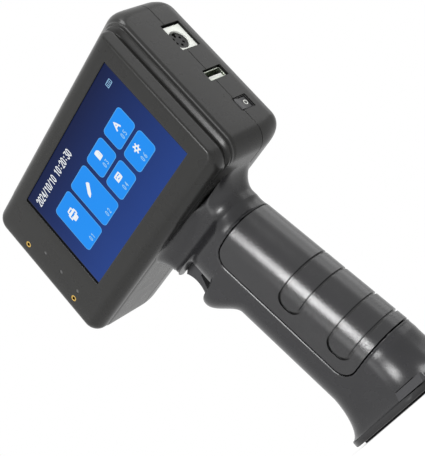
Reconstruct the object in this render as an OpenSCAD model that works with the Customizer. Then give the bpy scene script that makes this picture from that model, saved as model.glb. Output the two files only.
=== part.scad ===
// Handheld date code inkjet printer: pistol grip, touch screen on one side, print nose at -X.
// +Z is up, +X is the rear with the sockets, -Y is the side with the screen.
// The origin is the centre of the foot's underside.

/* [Body] */
// Length of the body, from print nose to socket face
body_len = 152.5; // [138:0.5:170]
// Depth of the body, from screen face to back
body_depth = 60; // [55:0.5:70]
// Height of the housing behind the bezel
body_h = 98.5; // [97:0.5:110]
// Height of the body's underside above the foot
under_z = 136; // [134:0.5:146]
// How far the socket face stands behind the middle of the foot
rear_x = 39; // [37:0.5:42]
// Thickness of housing walls
wall = 2.6; // [2:0.1:3]
// Radius of the housing's edges at the back and the rear
corner_r = 10; // [8.5:0.5:11]
// Distance of the joint between the halves from the middle
split_y = 9; // [7:0.5:10]

/* [Bezel] */
// Thickness of the screen bezel
bezel_t = 9; // [8:0.5:10]
// Rounding of the bezel's edges and corners
bezel_r = 6; // [4:0.5:6.5]
// How much lower the bezel's top is than the housing's
shoulder_rise = 10.3; // [6:0.1:12]
// Depth over which the housing's shoulder rises
shoulder_run = 12; // [9:0.5:14]
// How far the socket face stands past the bezel
rear_step = 2; // [1:0.5:4]
// Distance of the screen window from the print nose
window_front = 32.2; // [30:0.2:38]
// Distance of the screen window from the socket face
window_rear = 11.7; // [11:0.1:16]
// Height of the screen window
window_h = 61.4; // [56:0.2:64]
// How far the glass lies below the bezel's face
glass_sink = 0.9; // [0.5:0.1:1.2]
// Height of the screen's centre above the body's underside
screen_up = 46; // [44:0.5:46]
// Spacing of the two brass inserts
insert_gap = 40; // [30:1:50]
// Radius of the brass inserts
insert_r = 1.8; // [1.6:0.1:2.6]
// Radius of the inserts' tapped hole
insert_bore_r = 1; // [0.8:0.1:1.2]

/* [Grip] */
// Backward lean of the grip's front, degrees
grip_rake = 7; // [6:0.5:8]
// Backward lean of the grip's back, degrees
back_rake = 10; // [9:0.5:10.5]
// Front to back depth of the grip at the foot
grip_depth = 56; // [55:0.5:58]
// Side to side width of the grip
grip_w = 36; // [35:0.5:40]
// Corner radius of the grip's section
grip_r = 16; // [13:0.5:16.5]
// Distance of the back strap cover's upper end below the body
collar_drop = 21.5; // [19:0.5:24]
// Height of the back strap cover's lower edge
strap_z = 27.5; // [26.5:0.5:32]
// Thickness of the back strap cover
strap_t = 2.2; // [1.8:0.1:2.4]
// Distance of the cover's front edge from the grip's middle
strap_edge = 5; // [2:0.2:6]
// Width of a pad's groove line
groove_w = 1.5; // [0.8:0.1:2]
// Height of a grip pad
pad_h = 14; // [12:0.5:16]
// Distance of the pads' front ends behind the grip's middle
pad_edge = 1.5; // [0.5:0.5:8]
// Height of the lower pad's middle above the cover's lower edge
pad_low = 12.4; // [10:0.2:16]
// Spacing of the two pads
pad_step = 31; // [22:0.5:36]

/* [Foot] */
// Length of the foot
foot_len = 70; // [68:0.5:80]
// Width of the foot
foot_w = 44; // [40:0.5:50]
// Height over which the grip flares to the foot
flare_h = 25; // [22:0.5:27]
// Thickness of the foot plate
foot_t = 3; // [2.5:0.1:4]
// Thickness of the rubber pad under the plate
pad_t = 1.2; // [1:0.1:1.5]

/* [Sockets] */
// Distance of the socket row from the middle
port_y = 13; // [12:0.5:13.5]
// Height of the DIN socket above the body's underside
din_up = 69.4; // [68:0.2:72]
// Height of the DIN socket's face
din_h = 16.4; // [15:0.2:17]
// Width of the DIN socket's face
din_w = 14; // [13.6:0.2:15]
// Radius of the DIN plug opening
din_r = 5.8; // [5.4:0.1:6]
// Height of the USB socket above the body's underside
usb_up = 43.1; // [41:0.1:45]
// Height of the rocker switch above the body's underside
rocker_up = 22.2; // [21:0.1:24]
// Width of the rocker's opening
rocker_w = 11; // [10:0.2:12]
// Height of the rocker's opening
rocker_h = 8.4; // [7.6:0.2:9]
// Travel of the rocker from side to side, degrees
rocker_swing = 14; // [10:1:16]

/* [Print end] */
// Length of the ink cartridge
cart_len = 60; // [54:0.5:61]
// Height of the ink cartridge
cart_h = 64; // [60:0.5:65]
// Thickness of the nose plate
nose_t = 2; // [1.5:0.1:2.5]
// Outside radius of the encoder wheel's tyre
tyre_r = 10.5; // [9.5:0.5:11]
// Width of the encoder wheel
wheel_w = 6; // [5:0.5:6]
// How far wheel and rollers stand out of the nose
roll_out = 2; // [1:0.1:2.5]
// Radius of a guide roller
roller_r = 5; // [4:0.1:5.5]
// Radius of shafts and pins
pin_r = 1.5; // [1.2:0.1:1.6]
// Radial clearance of a running shaft
run_gap = 0.05; // [0.03:0.01:0.08]

/* [Trigger] */
// Distance of the trigger's pivot below the body
trigger_drop = 11; // [10:0.5:12]
// Length of the trigger below its pivot
trigger_len = 17.4; // [15:0.2:17.6]
// How far the finger face stands ahead of the pivot
trigger_reach = 9; // [8:0.5:9.5]
// Width of the trigger
trigger_w = 10; // [8:0.5:12]

/* [Battery] */
// Radius of a battery cell
cell_r = 9.2; // [9:0.1:9.3]
// Length of a battery cell
cell_len = 65; // [63:0.5:65.5]

/* [Fits] */
// Gap left round pieces that slide or drop in
fit_gap = 0.3; // [0.2:0.05:0.4]

/* [Hidden] */
$fn = 48;
hull_fn = 32;
eps = 0.02;

// Housing corners
front_x = rear_x - body_len;
collar_z = under_z - collar_drop;
trigger_z = under_z - trigger_drop;
face_y = -body_depth / 2;
back_y = body_depth / 2;
cover_y = face_y + bezel_t;
top_z = under_z + body_h;
bezel_top = top_z - shoulder_rise;
bezel_rear = rear_x - rear_step;
rear_run = shoulder_run / 2;
top_back_r = corner_r + 3;
nose_r = corner_r - 4;
front_wall = nose_t + 2.4;
seam_w = 1;
seam_in = 0.8;
far = 200;

// Screen stack
window_w = body_len - window_front - window_rear;
screen_x = (front_x + window_front + rear_x - window_rear) / 2;
screen_z = under_z + screen_up;
glass_t = 1.2;
glass_lap = 1.8;
glass_w = window_w + 2 * glass_lap;
glass_h = window_h + 2 * glass_lap;
glass_y = face_y + glass_sink;
lcd_y = glass_y + glass_t;
lcd_t = 3.4;
lcd_back = lcd_y + lcd_t;
board_y = cover_y + 1.2;
board_t = 1.6;
board_in = 2.5;
board_out = 6.9;
chip_w = 10;
chip_l = 12;
chip_t = 1.2;
chip_gap = 6;
chip_step = 22;
cpu_w = 14;
coil_w = 8;
coil_t = 2.6;
plug_w = 4;
plug_l = 24;
plug_in = 8;
buzzer_r = 5;
buzzer_h = 3.4;
buzzer_at = [screen_x + buzzer_r + 3, screen_z - 4 * buzzer_r];
standoff_r = 2.5;
standoff_in = 10;
insert_in = 9.8;
insert_x = front_x + insert_in;
insert_z = under_z + 42;
insert_len = 5;
mark_x = insert_x + 6.2;
mark_z = insert_z - 5.5;
mark_step = 14;
mark_r = 1;

// Case screws, one near each corner of the housing
screw_r = 1.5;
screw_gap = 0.2;
head_r = 2.8;
head_h = 2;
head_sink = 5;
socket_r = 1.25;
post_r = 3.2;
post_in = 8;
rib_t = 2;
post_low = under_z + post_in;
post_high = bezel_top - wall - post_r + 0.6;
post_rear = rear_x - post_in;
posts = [[front_x + 15.5, post_low], [front_x + 26, post_high],
    [post_rear, post_low], [post_rear, post_high]];

// Grip
lean_x = 3.2;
half_d = grip_depth / 2;
half_w = grip_w / 2;
bay_in = wall + strap_t;
notch_z = trigger_z - 1;
notch_h = 18;
shelf_z = notch_z - notch_h;
shelf_h = 4;
shelf_drop = 18;
shelf_foot = shelf_z - shelf_drop;
shelf_out = 13.2;
shelf_x = grip_at(shelf_z) - half_d - shelf_out;
neck_r = 24;
neck_in = 7.65;
neck_x = grip_at(trigger_z) - half_d + neck_in;
trigger_x = neck_x - 9.5;
neck_back_x = 8;
neck_back_r = 13;
waist_z = under_z - 7;
waist_in = 3;
waist_back = 11;
brow_z = collar_z + 4.5;
foot_z = pad_t;
plate_z = foot_z + foot_t;
foot_r = 18;
strap_r = 8;
pad_r = 6;
toe = foot_len / 2;
flare_steps = 4;
flare_z = plate_z + 0.3;
grip_screw_at = [[shelf_x + shelf_out - 0.2, shelf_z - 2 * head_r], [trigger_x - 2, under_z - head_r - 0.7]];
grip_head_y = split_y + 1.5;
grip_tip_y = -8;

// Sockets, all in one row on the rear face
din_z = under_z + din_up;
din_hole_y = port_y - 1.6;
din_hole_z = din_z - 1.1;
usb_z = under_z + usb_up;
usb_w = 14.4;
usb_h = 7;
usb_edge = 0.6;
sheet = 0.4;
rocker_z = under_z + rocker_up;
board_back_x = rear_x - 19;
port_board_x = board_back_x + board_t;
port_face = rear_x - 1.2;
rocker_px = rear_x - 2.4;
rocker_fit = 0.15;
rocker_r = rocker_w / 2 - 0.85;
rocker_half = rocker_h / 2 - 0.9;
trunnion_r = 0.7;

// Print end
ledge = 1.5;
plate_near = cover_y + 3;
plate_far = back_y - 5.5;
nose_low = under_z + 5;
boss_wall = 1;
nose_screw_r = 1.1;
nose_head_r = 2.1;
nose_screw_in = 3.5;
boss_in = nose_screw_in + nose_head_r + boss_wall;
bay_t = 1.2;
bay_near = board_y + board_t + coil_t + 1.6;
bay_far = back_y - wall - 4.4;
cart_w = bay_far - bay_near - 2 * (bay_t + fit_gap);
cart_y = (bay_near + bay_far) / 2;
wheel_y = (plate_near + plate_far) / 2;
lug_t = 1;
side_gap = 0.2;
roller_w = 2.8;
lug_z = nose_low + ledge + 0.5;
roller_z = lug_z + lug_t + side_gap;
lug_top = roller_z + roller_w + side_gap + lug_t;
roller_x = front_x - roll_out + roller_r;
roller_clear = 0.4;
roller_near_y = plate_near + boss_in + roller_clear + roller_r;
roller_far_y = plate_far - boss_in - roller_clear - roller_r;
bay_z = lug_top;
cart_z = bay_z + bay_t + fit_gap + cart_h / 2;
bay_top = cart_z + cart_h / 2 + fit_gap + bay_t;
cart_x = front_x + 1.2;
bay_x = front_x + nose_t;
bay_end = cart_x + cart_len + 1.5;
jet_w = 6.8;
jet_h = 20;
row_y = 1.6;
hold_w = 18;
hold_h = 6;
hold_z = cart_h / 2 - hold_h;
pin_up = 12;
pin_step = 3;
pin_rows = 5;
bush_h = 1.6;
bush_r = 3;
wheel_z = bay_top + bush_h + side_gap;
wheel_top = wheel_z + wheel_w;
wheel_x = front_x - roll_out + tyre_r;
hub_r = tyre_r - 2.5;
disc_r = 6;
disc_t = 0.6;
arm_z = wheel_top + 3.2;
arm_t = 1.6;
nose_high = wheel_top + 3.5;
nose_screw_at = [for (y = [plate_near + nose_screw_in, plate_far - nose_screw_in],
    z = [nose_low + nose_screw_in, nose_high - nose_screw_in]) [y, z]];

// Trigger
slot_half = trigger_w / 2 + 0.6;
boss_r = 4;
blade_t = 3.8;
face_top = 2.4;
finger_r = 14;
finger_deep = 2.6;
tab_reach = 4;
tab_drop = 7;
tab_t = 1.6;
tab_z = trigger_z - tab_drop;
tab_x = trigger_x + tab_reach;
switch_x = tab_x + 4.5;
switch_len = 8;
switch_w = 6.4;
plunger_r = 1.2;
spring_r = 2.5;
wire_r = 0.45;
pin_fit = 0.02;

// Battery, measured along the lean of the grip
cell_z = 25;
cell_gap = 0.3;
cell_x = cell_r + cell_gap;
cell_shift = -3;
holder_t = 2;
holder_back = half_w - bay_in;
tray_y = holder_back - 1.9;
cell_y = tray_y - cell_gap - cell_r;

// Latch button on the near side of the foot
latch_x = 14;
latch_len = 18;
latch_h = 3.8;
latch_z = plate_z + 0.5;
latch_deep = 3;
latch_seat = half_w - bay_in + 2.3;
latch_out = 0.5;
foot_screw_at = [[-27.5, -3], [27.5, -3], [-23, 13], [24, 13]];

module slab_x(a, b) { translate([a, 0, 0]) rotate([90, 0, 90]) linear_extrude(b - a) children(); }
module slab_y(a, b) { translate([0, b, 0]) rotate([90, 0, 0]) linear_extrude(b - a) children(); }
module slab_z(a, b) { translate([0, 0, a]) linear_extrude(b - a) children(); }
module rod_x(p, r, len) { translate(p) rotate([0, 90, 0]) cylinder(r = r, h = len); }
module rod_y(p, r, len) { translate(p) rotate([-90, 0, 0]) cylinder(r = r, h = len); }
module rod_z(p, r, len) { translate(p) cylinder(r = r, h = len); }
module box(a, b) { translate(a) cube(b - a); }
module rake() { translate([lean_x, 0, 0]) rotate([0, -grip_rake, 0]) children(); }
function grip_at(z) = lean_x - z * tan(grip_rake);
function back_at(z) = lean_x - z * tan(back_rake) + half_d;

// What is taken off a square corner at p, pointing along s, to round it
module corner_trim(p, s, r) {
    c = p - s * r;
    difference() {
        translate([s[0] > 0 ? c[0] : p[0] - 1, s[1] > 0 ? c[1] : p[1] - 1]) square(r + 1);
        translate(c) circle(r);
    }
}

// A rectangle from one corner to the other, with radius r on its left and q on its right
module round_rect(a, b, r, q) {
    difference() {
        translate(a) square(b - a);
        corner_trim(a, [-1, -1], r);
        corner_trim([a[0], b[1]], [-1, 1], r);
        corner_trim([b[0], a[1]], [1, -1], q);
        corner_trim(b, [1, 1], q);
    }
}

// What is taken off a corner at p, pointing along s, where three edges of radius r meet
module ball_trim(p, s, r) {
    c = p - s * r;
    difference() {
        translate(c + (s - [1, 1, 1]) * (r + 1) / 2) cube(r + 1);
        translate(c) sphere(r);
    }
}

// The housing behind the bezel; the hollow is the same form moved in by a wall
module housing(in, front) {
    intersection() {
        slab_y(cover_y - in, back_y - in)
            round_rect([front_x + front, under_z + in], [rear_x - in, top_z - in], nose_r - in, corner_r - in);
        slab_x(front_x, rear_x) difference() {
            polygon([[cover_y - in, under_z + in], [back_y - in, under_z + in], [back_y - in, top_z - in],
                [cover_y + shoulder_run, top_z - in], [cover_y, bezel_top - in],
                [cover_y - in, bezel_top - in]]);
            corner_trim([back_y - in, under_z + in], [1, -1], corner_r - in);
            corner_trim([back_y - in, top_z - in], [1, 1], top_back_r - in);
        }
        slab_z(under_z, top_z) difference() {
            polygon([[front_x + front, cover_y - in], [bezel_rear - in, cover_y - in],
                [bezel_rear - in, cover_y], [rear_x - in, cover_y + rear_run],
                [rear_x - in, back_y - in], [front_x + front, back_y - in]]);
            corner_trim([rear_x - in, back_y - in], [1, 1], corner_r - in);
            corner_trim([front_x + front, back_y - in], [-1, 1], nose_r - in);
        }
    }
}

// The grip's leaning column, shrunk by in, between two heights along its lean
module column(in, a, b) {
    intersection() {
        rake() slab_z(a, b) round_rect([in - half_d, in - half_w], [far, half_w - in], grip_r - in, 1);
        translate([lean_x, 0, 0]) rotate([0, -back_rake, 0]) slab_z(a, b)
            round_rect([-far, in - half_w], [half_d - in, half_w - in], 1, grip_r - in);
    }
}

// One level of the grip's outline, for the flares that grow from it
module level(z, a, b, w, r) {
    translate([0, 0, z]) linear_extrude(eps) round_rect([a, -w], [b, w], r, r, $fn = hull_fn);
}

// One level of the foot's flare, at angle a of its hollow quarter round
module flare_level(a) {
    z = flare_z + (flare_h - flare_z) * (1 - sin(a));
    out = 1 - cos(a);
    front = grip_at(flare_h) - half_d + 0.2;
    back = back_at(flare_h) - 0.2;
    level(z, front - (toe + front) * out, back + (toe - back) * out, half_w - 0.2
        + (foot_w / 2 - half_w + 0.2) * out, grip_r + (foot_r - grip_r) * out);
}

// The grip with its neck, the finger shelf under the trigger and the flare to the foot
module grip() {
    intersection() {
        column(0, -far / 4, under_z + far / 4);
        box([-far, -far, foot_z + 1], [far, far, notch_z]);
        union() {
            box([-far, -far, 0], [far, far, brow_z]);
            slab_z(brow_z - 1, under_z) round_rect([-far, waist_in - half_w], [waist_back - 1, half_w - waist_in], 1,
                grip_r - waist_in);
        }
    }
    slab_z(notch_z, waist_z + eps) round_rect([neck_x - neck_r + 3.8, waist_in + 0.3 - half_w],
        [neck_x, half_w - waist_in - 0.3], grip_r - waist_in - 1, 1);
    hull() {
        rod_z([neck_x, 0, under_z], neck_r, wall / 2, $fn = hull_fn);
        rod_z([neck_back_x, 0, under_z], neck_back_r, wall / 2, $fn = hull_fn);
        level(waist_z, neck_x - neck_r + 3.5, waist_back, half_w - waist_in, grip_r - waist_in);
    }
    hull() {
        level(waist_z, trigger_x + 4, waist_back, half_w - waist_in, grip_r - waist_in);
        level(brow_z, grip_at(brow_z) - half_d + 0.3, back_at(brow_z) - 0.3, half_w - 0.3, grip_r);
    }
    hull() {
        level(shelf_z, shelf_x + 1.5, back_at(shelf_z) - 3, half_w - 3, grip_r - 2);
        level(shelf_z - shelf_h, shelf_x, back_at(shelf_z) - 3, half_w - 2, grip_r - 1);
        level(shelf_foot, grip_at(shelf_foot) - half_d + 0.2, back_at(shelf_foot) - 3,
            half_w - 0.2, grip_r);
    }
    slab_z(foot_z, flare_z + eps)
        round_rect([-toe, -foot_w / 2], [toe, foot_w / 2], foot_r, foot_r);
    for (k = [1:flare_steps]) hull() {
        flare_level(90 * (k - 1) / flare_steps);
        flare_level(90 * k / flare_steps);
    }
}

// Room for the back strap cover, or the cover itself when it is given a gap
module strap_zone(gap) {
    rake() slab_y(-far, far) round_rect([gap - strap_edge, strap_z + gap], [far, collar_z - gap], strap_r, 1);
}

module socket_cuts() {
    rod_x([rear_x - 2 * wall, din_hole_y, din_hole_z], din_r, far);
    box([rear_x - 2 * wall, port_y - din_w / 2, din_z - din_h / 2],
        [rear_x + 1, port_y + din_w / 2, din_z + din_h / 2]);
    box([rear_x - 2 * wall, port_y - usb_w / 2, usb_z - usb_h / 2],
        [rear_x + 1, port_y + usb_w / 2, usb_z + usb_h / 2]);
    box([rear_x - 2 * wall, port_y - rocker_w / 2, rocker_z - rocker_h / 2],
        [rear_x + 1, port_y + rocker_w / 2, rocker_z + rocker_h / 2]);
}

module nose_outline(in) {
    round_rect([plate_near + in, nose_low + in], [plate_far - in, nose_high - in], 4 - in, 4 - in);
}

module nose_cut() {
    slab_x(front_x - 1, bay_x) nose_outline(0);
    difference() {
        slab_x(front_x - 1, front_x + front_wall + 1) nose_outline(ledge);
        for (p = nose_screw_at) rod_x([bay_x, p[0], p[1]], nose_head_r + boss_wall, front_wall);
    }
}

module trigger_slot() {
    rod_y([trigger_x, -slot_half, trigger_z], boss_r + 0.6, 2 * slot_half);
    box([-far, -slot_half, tab_z - tab_reach], [switch_x + 2.5, slot_half, trigger_z]);
}

module latch_pocket() {
    box([latch_x - fit_gap, -foot_w, latch_z - fit_gap],
        [latch_x + latch_len + fit_gap, -latch_seat, latch_z + latch_h + fit_gap]);
}

// Everything that is hollow inside the two halves
module hollows() {
    housing(wall, front_wall);
    intersection() {
        column(bay_in, -far / 4, under_z + far / 4);
        box([-far, -far, foot_z - 1], [far, far, under_z + wall + 1]);
    }
    slab_z(foot_z - 1, plate_z) round_rect([wall - toe, wall - foot_w / 2],
        [toe - wall, foot_w / 2 - wall], foot_r - wall, foot_r - wall);
    difference() {
        strap_zone(0);
        column(strap_t + fit_gap / 2, -far / 4, under_z + far / 4);
    }
    socket_cuts();
    nose_cut();
}

// Posts for the case screws, between two depths, with ribs to the floor or the ceiling
module case_posts(a, b) {
    intersection() {
        union() {
            for (p = posts) rod_y([p[0], a, p[1]], post_r, b - a);
            for (p = posts) box([p[0] - rib_t / 2, a, p[1] < screen_z ? under_z : p[1]],
                [p[0] + rib_t / 2, b, p[1] < screen_z ? p[1] : top_z]);
        }
        housing(wall / 2, wall);
    }
}

// Bosses behind the nose plate's screws
module nose_bosses() {
    for (p = nose_screw_at) difference() {
        rod_x([front_x + front_wall - 1, p[0], p[1]], nose_head_r + boss_wall, 5);
        box([front_x, -far, bay_z - fit_gap], [rear_x, far, bay_top + fit_gap]);
    }
}

module nose_holes(r) { for (p = nose_screw_at) rod_x([front_x - 1, p[0], p[1]], r, front_wall + 4.5); }

module foot_holes() {
    for (p = foot_screw_at) rod_z([p[0], p[1], foot_z - 1], screw_r + run_gap, foot_t + 5);
}

module screen_bezel() color("#4b4a4a") difference() {
    union() {
        difference() {
            intersection() {
                slab_y(face_y, cover_y)
                    round_rect([front_x, under_z], [bezel_rear, bezel_top], bezel_r, bezel_r);
                slab_x(front_x, rear_x) difference() {
                    box2([face_y, under_z], [cover_y, bezel_top]);
                    corner_trim([face_y, under_z], [-1, -1], bezel_r);
                    corner_trim([face_y, bezel_top], [-1, 1], bezel_r);
                }
                slab_z(under_z, top_z) difference() {
                    box2([front_x, face_y], [bezel_rear, cover_y]);
                    corner_trim([front_x, face_y], [-1, -1], bezel_r);
                    corner_trim([bezel_rear, face_y], [1, -1], bezel_r);
                }
            }
            slab_y(face_y + wall, cover_y + 1) round_rect([front_x + wall, under_z + wall],
                [bezel_rear - wall, bezel_top - wall], bezel_r - wall, bezel_r - wall);
            difference() {
                slab_y(cover_y - seam_w, cover_y + 1) box2([front_x - 1, under_z - 1], [far, far * 2]);
                slab_y(cover_y - far, cover_y + far) round_rect([front_x + seam_in, under_z + seam_in],
                    [bezel_rear - seam_in, bezel_top - seam_in], bezel_r - seam_in,
                    bezel_r - seam_in);
            }
        }
        box([screen_x - glass_w / 2 - wall / 2, face_y + wall / 2, screen_z - glass_h / 2 - wall / 2],
            [screen_x + glass_w / 2 + wall / 2, lcd_back, screen_z + glass_h / 2 + wall / 2]);
        intersection() {
            for (p = posts) rod_y([p[0], face_y + wall / 2, p[1]], post_r, bezel_t - wall / 2);
            slab_y(face_y, cover_y) round_rect([front_x + seam_in, under_z + seam_in],
                [bezel_rear - seam_in, bezel_top - seam_in], bezel_r, bezel_r);
        }
        for (s = [-1, 1])
            rod_y([insert_x, face_y + wall / 2, insert_z + s * insert_gap / 2], insert_r + 1.5, insert_len);
    }
    box([screen_x - window_w / 2, face_y - 1, screen_z - window_h / 2],
        [screen_x + window_w / 2, cover_y, screen_z + window_h / 2]);
    box([screen_x - glass_w / 2 - fit_gap, glass_y, screen_z - glass_h / 2 - fit_gap],
        [screen_x + glass_w / 2 + fit_gap, cover_y, screen_z + glass_h / 2 + fit_gap]);
    for (s = [-1, 1])
        rod_y([insert_x, face_y - 1, insert_z + s * insert_gap / 2], insert_r, insert_len + 1);
    for (k = [-1, 0, 1]) rod_y([mark_x, face_y - 1, mark_z + k * mark_step], mark_r, bezel_t);
    for (p = posts) rod_y([p[0], face_y + wall, p[1]], screw_r + run_gap, bezel_t);
}

module box2(a, b) { translate(a) square(b - a); }

module shell_half(a, b) {
    intersection() {
        difference() {
            union() {
                difference() {
                    housing(0, 0);
                    ball_trim([rear_x, back_y, under_z], [1, 1, -1], corner_r);
                }
                grip();
            }
            hollows();
        }
        box([-far, a, -1], [far, b, far * 2]);
    }
}

module near_shell() color("#464648") difference() {
    union() {
        shell_half(-far, split_y);
        case_posts(cover_y, split_y);
        intersection() {
            nose_bosses();
            box([-far, -far, 0], [far, split_y, 2 * far]);
        }
        box([switch_x, -half_w + bay_in - 1, tab_z - switch_len / 2 - 1],
            [switch_x + switch_len + 1, -switch_w / 2, tab_z + switch_len / 2]);
    }
    for (p = posts) rod_y([p[0], cover_y - 1, p[1]], screw_r + screw_gap, body_depth);
    for (p = grip_screw_at) rod_y([p[0], grip_tip_y, p[1]], screw_r + run_gap, body_depth);
    rod_y([trigger_x, -slot_half - 3, trigger_z], pin_r + pin_fit, body_depth);
    trigger_slot();
    latch_pocket();
    box([-far, -far, under_z], [far, cover_y, 2 * far]);
    nose_holes(nose_screw_r + run_gap);
    foot_holes();
}

module far_shell() color("#434345") difference() {
    union() {
        shell_half(split_y, far);
        case_posts(split_y, back_y);
        intersection() {
            nose_bosses();
            box([-far, split_y, 0], [far, far, 2 * far]);
        }
    }
    for (p = posts) {
        rod_y([p[0], split_y - 1, p[1]], screw_r + screw_gap, body_depth);
        rod_y([p[0], back_y - head_sink, p[1]], head_r + screw_gap, body_depth);
    }
    for (p = grip_screw_at) {
        rod_y([p[0], split_y - 1, p[1]], screw_r + screw_gap, body_depth);
        rod_y([p[0], grip_head_y, p[1]], head_r + screw_gap, body_depth);
    }
    nose_holes(nose_screw_r + run_gap);
    foot_holes();
}

module pad_groove(z) {
    rake() slab_y(-far, far) difference() {
        round_rect([pad_edge, z - pad_h / 2], [far, z + pad_h / 2], pad_r, 1);
        round_rect([pad_edge + groove_w, z - pad_h / 2 + groove_w], [far + 1, z + pad_h / 2 - groove_w],
            pad_r - groove_w, 1);
    }
}

module backstrap_cover() color("#484849") difference() {
    intersection() {
        column(0, strap_z - 20, collar_z + 20);
        strap_zone(fit_gap / 2);
    }
    column(strap_t, strap_z - 21, collar_z + 21);
    difference() {
        union() {
            pad_groove(strap_z + pad_low);
            pad_groove(strap_z + pad_low + pad_step);
        }
        column(strap_t / 2, strap_z - 22, collar_z + 22);
    }
}

module display_glass() color("#14305c")
    box([screen_x - glass_w / 2, glass_y, screen_z - glass_h / 2],
        [screen_x + glass_w / 2, lcd_y, screen_z + glass_h / 2]);

module lcd_panel() color("#9aa0a6") difference() {
    box([screen_x - glass_w / 2, lcd_y, screen_z - glass_h / 2],
        [screen_x + glass_w / 2, lcd_back, screen_z + glass_h / 2]);
    box([screen_x - window_w / 2 + 6, lcd_back - 0.4, screen_z - window_h / 2 + 4],
        [screen_x + window_w / 2 - 6, lcd_back + 1, screen_z + window_h / 2 - 4]);
    for (x = [-1, 1], z = [-1, 1]) rod_y(standoff_at(x, z, lcd_back - 0.4), standoff_r + 0.3, 1);
}

function standoff_at(x, z, y) = [screen_x + x * (glass_w / 2 - standoff_in), y,
    screen_z + z * (glass_h / 2 - standoff_in)];

module board_standoffs() color("#c9b26a") for (x = [-1, 1], z = [-1, 1]) difference() {
    rod_y(standoff_at(x, z, lcd_back - 0.4), standoff_r, board_y - lcd_back + 0.4);
    rod_y(standoff_at(x, z, lcd_back + 1), screw_r, board_y - lcd_back);
}

module main_board() color("#1f6b3a") difference() {
    box([screen_x - glass_w / 2 - board_out, board_y, screen_z - glass_h / 2 + board_in],
        [screen_x + glass_w / 2 - board_in, board_y + board_t, screen_z + glass_h / 2 - board_in]);
    for (x = [-1, 1], z = [-1, 1]) rod_y(standoff_at(x, z, board_y - 1), screw_r, 4);
}

module chip(x, z, w, h, t) {
    box([screen_x + x - w / 2, board_y + board_t, screen_z + z - h / 2],
        [screen_x + x + w / 2, board_y + board_t + t, screen_z + z + h / 2]);
}

module board_chips() color("#202224") {
    chip(0, plug_w, cpu_w, cpu_w, chip_t);
    for (s = [-1, 1]) chip(-chip_step, s * (chip_l + chip_gap) / 2, chip_w, chip_l, chip_t);
    for (s = [-1, 1]) chip(chip_step, s * cpu_w, coil_w, coil_w, coil_t);
    for (s = [-1, 1]) chip(s * (glass_w / 2 - plug_in), 0, plug_w, plug_l, coil_t);
}

module buzzer() color("#2a2a2c") difference() {
    rod_y([buzzer_at[0], board_y + board_t, buzzer_at[1]], buzzer_r, buzzer_h);
    rod_y([buzzer_at[0], board_y + board_t + buzzer_h - 0.8, buzzer_at[1]], 1, buzzer_h);
}

module port_board() color("#1f6b3a")
    box([board_back_x, port_y - din_w / 2 - 3, rocker_z - 9], [port_board_x, port_y + din_w / 2 + 2, din_z + 9.5]);

module din_housing() color("#c3c8c0") difference() {
    box([port_board_x, port_y - din_w / 2 + fit_gap, din_z - din_h / 2 + fit_gap],
        [port_face, port_y + din_w / 2 - fit_gap, din_z + din_h / 2 - fit_gap]);
    rod_x([port_board_x + 2, din_hole_y, din_hole_z], din_r, far);
}

module din_pin(k, x, r, len) {
    rod_x([x, din_hole_y + 2.9 * cos(60 * k + 30), din_hole_z + 2.9 * sin(60 * k + 30)], r, len);
}

module din_insert() color("#18181a") difference() {
    rod_x([port_board_x + 2, din_hole_y, din_hole_z], din_r - fit_gap, port_face - port_board_x - 2.8);
    for (k = [0:5]) din_pin(k, port_board_x, 0.8, far);
    box([port_face - 4, din_hole_y - 1.2, din_hole_z + 3.6], [far, din_hole_y + 1.2, din_hole_z + far]);
}

module din_contacts() color("#c8b070") for (k = [0:5]) din_pin(k, port_board_x + 2, 0.45, 11);

module usb_shell() color("#b9bdc0") difference() {
    box([port_board_x, port_y - usb_w / 2 + usb_edge, usb_z - usb_h / 2 + usb_edge],
        [port_face, port_y + usb_w / 2 - usb_edge, usb_z + usb_h / 2 - usb_edge]);
    box([port_board_x + 1, port_y - usb_w / 2 + usb_edge + sheet, usb_z - usb_h / 2 + usb_edge + sheet],
        [far, port_y + usb_w / 2 - usb_edge - sheet, usb_z + usb_h / 2 - usb_edge - sheet]);
}

module usb_tongue() color("#e8e8e4") {
    box([port_board_x + 1, port_y - usb_w / 2 + usb_edge + sheet, usb_z - usb_h / 2 + usb_edge + sheet],
        [port_board_x + 4, port_y + usb_w / 2 - usb_edge - sheet, usb_z]);
    box([port_board_x + 3, port_y - 5.4, usb_z - usb_h / 2 + usb_edge + sheet + 0.4],
        [port_face - 0.8, port_y + 5.4, usb_z - 0.2]);
}

module rocker_frame() color("#1c1c1e") difference() {
    box([port_board_x, port_y - rocker_w / 2 + rocker_fit, rocker_z - rocker_h / 2 + rocker_fit],
        [rear_x - 0.4, port_y + rocker_w / 2 - rocker_fit, rocker_z + rocker_h / 2 - rocker_fit]);
    intersection() {
        rod_z([rocker_px, port_y, rocker_z - rocker_half - fit_gap], rocker_r + fit_gap,
            2 * (rocker_half + fit_gap));
        box([rocker_px - 3, -far, 0], [far, far, far * 2]);
    }
    rod_z([rocker_px, port_y, rocker_z - rocker_h], trunnion_r + run_gap, 2 * rocker_h);
}

module rocker_button() color("#242426") translate([rocker_px, port_y, rocker_z]) {
    rotate([0, 0, rocker_swing / 2]) intersection() {
        translate([0, 0, -rocker_half]) cylinder(r = rocker_r, h = 2 * rocker_half);
        slab_z(-rocker_half, rocker_half) polygon([[-2, -rocker_w], [1.6 + rocker_w * tan(rocker_swing / 2),
            -rocker_w], [1.6, 0], [1.6 + rocker_w * tan(rocker_swing / 2), rocker_w], [-2, rocker_w]]);
    }
    translate([0, 0, -rocker_half - 0.6]) cylinder(r = trunnion_r, h = 2 * rocker_half + 1.2);
}

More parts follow.
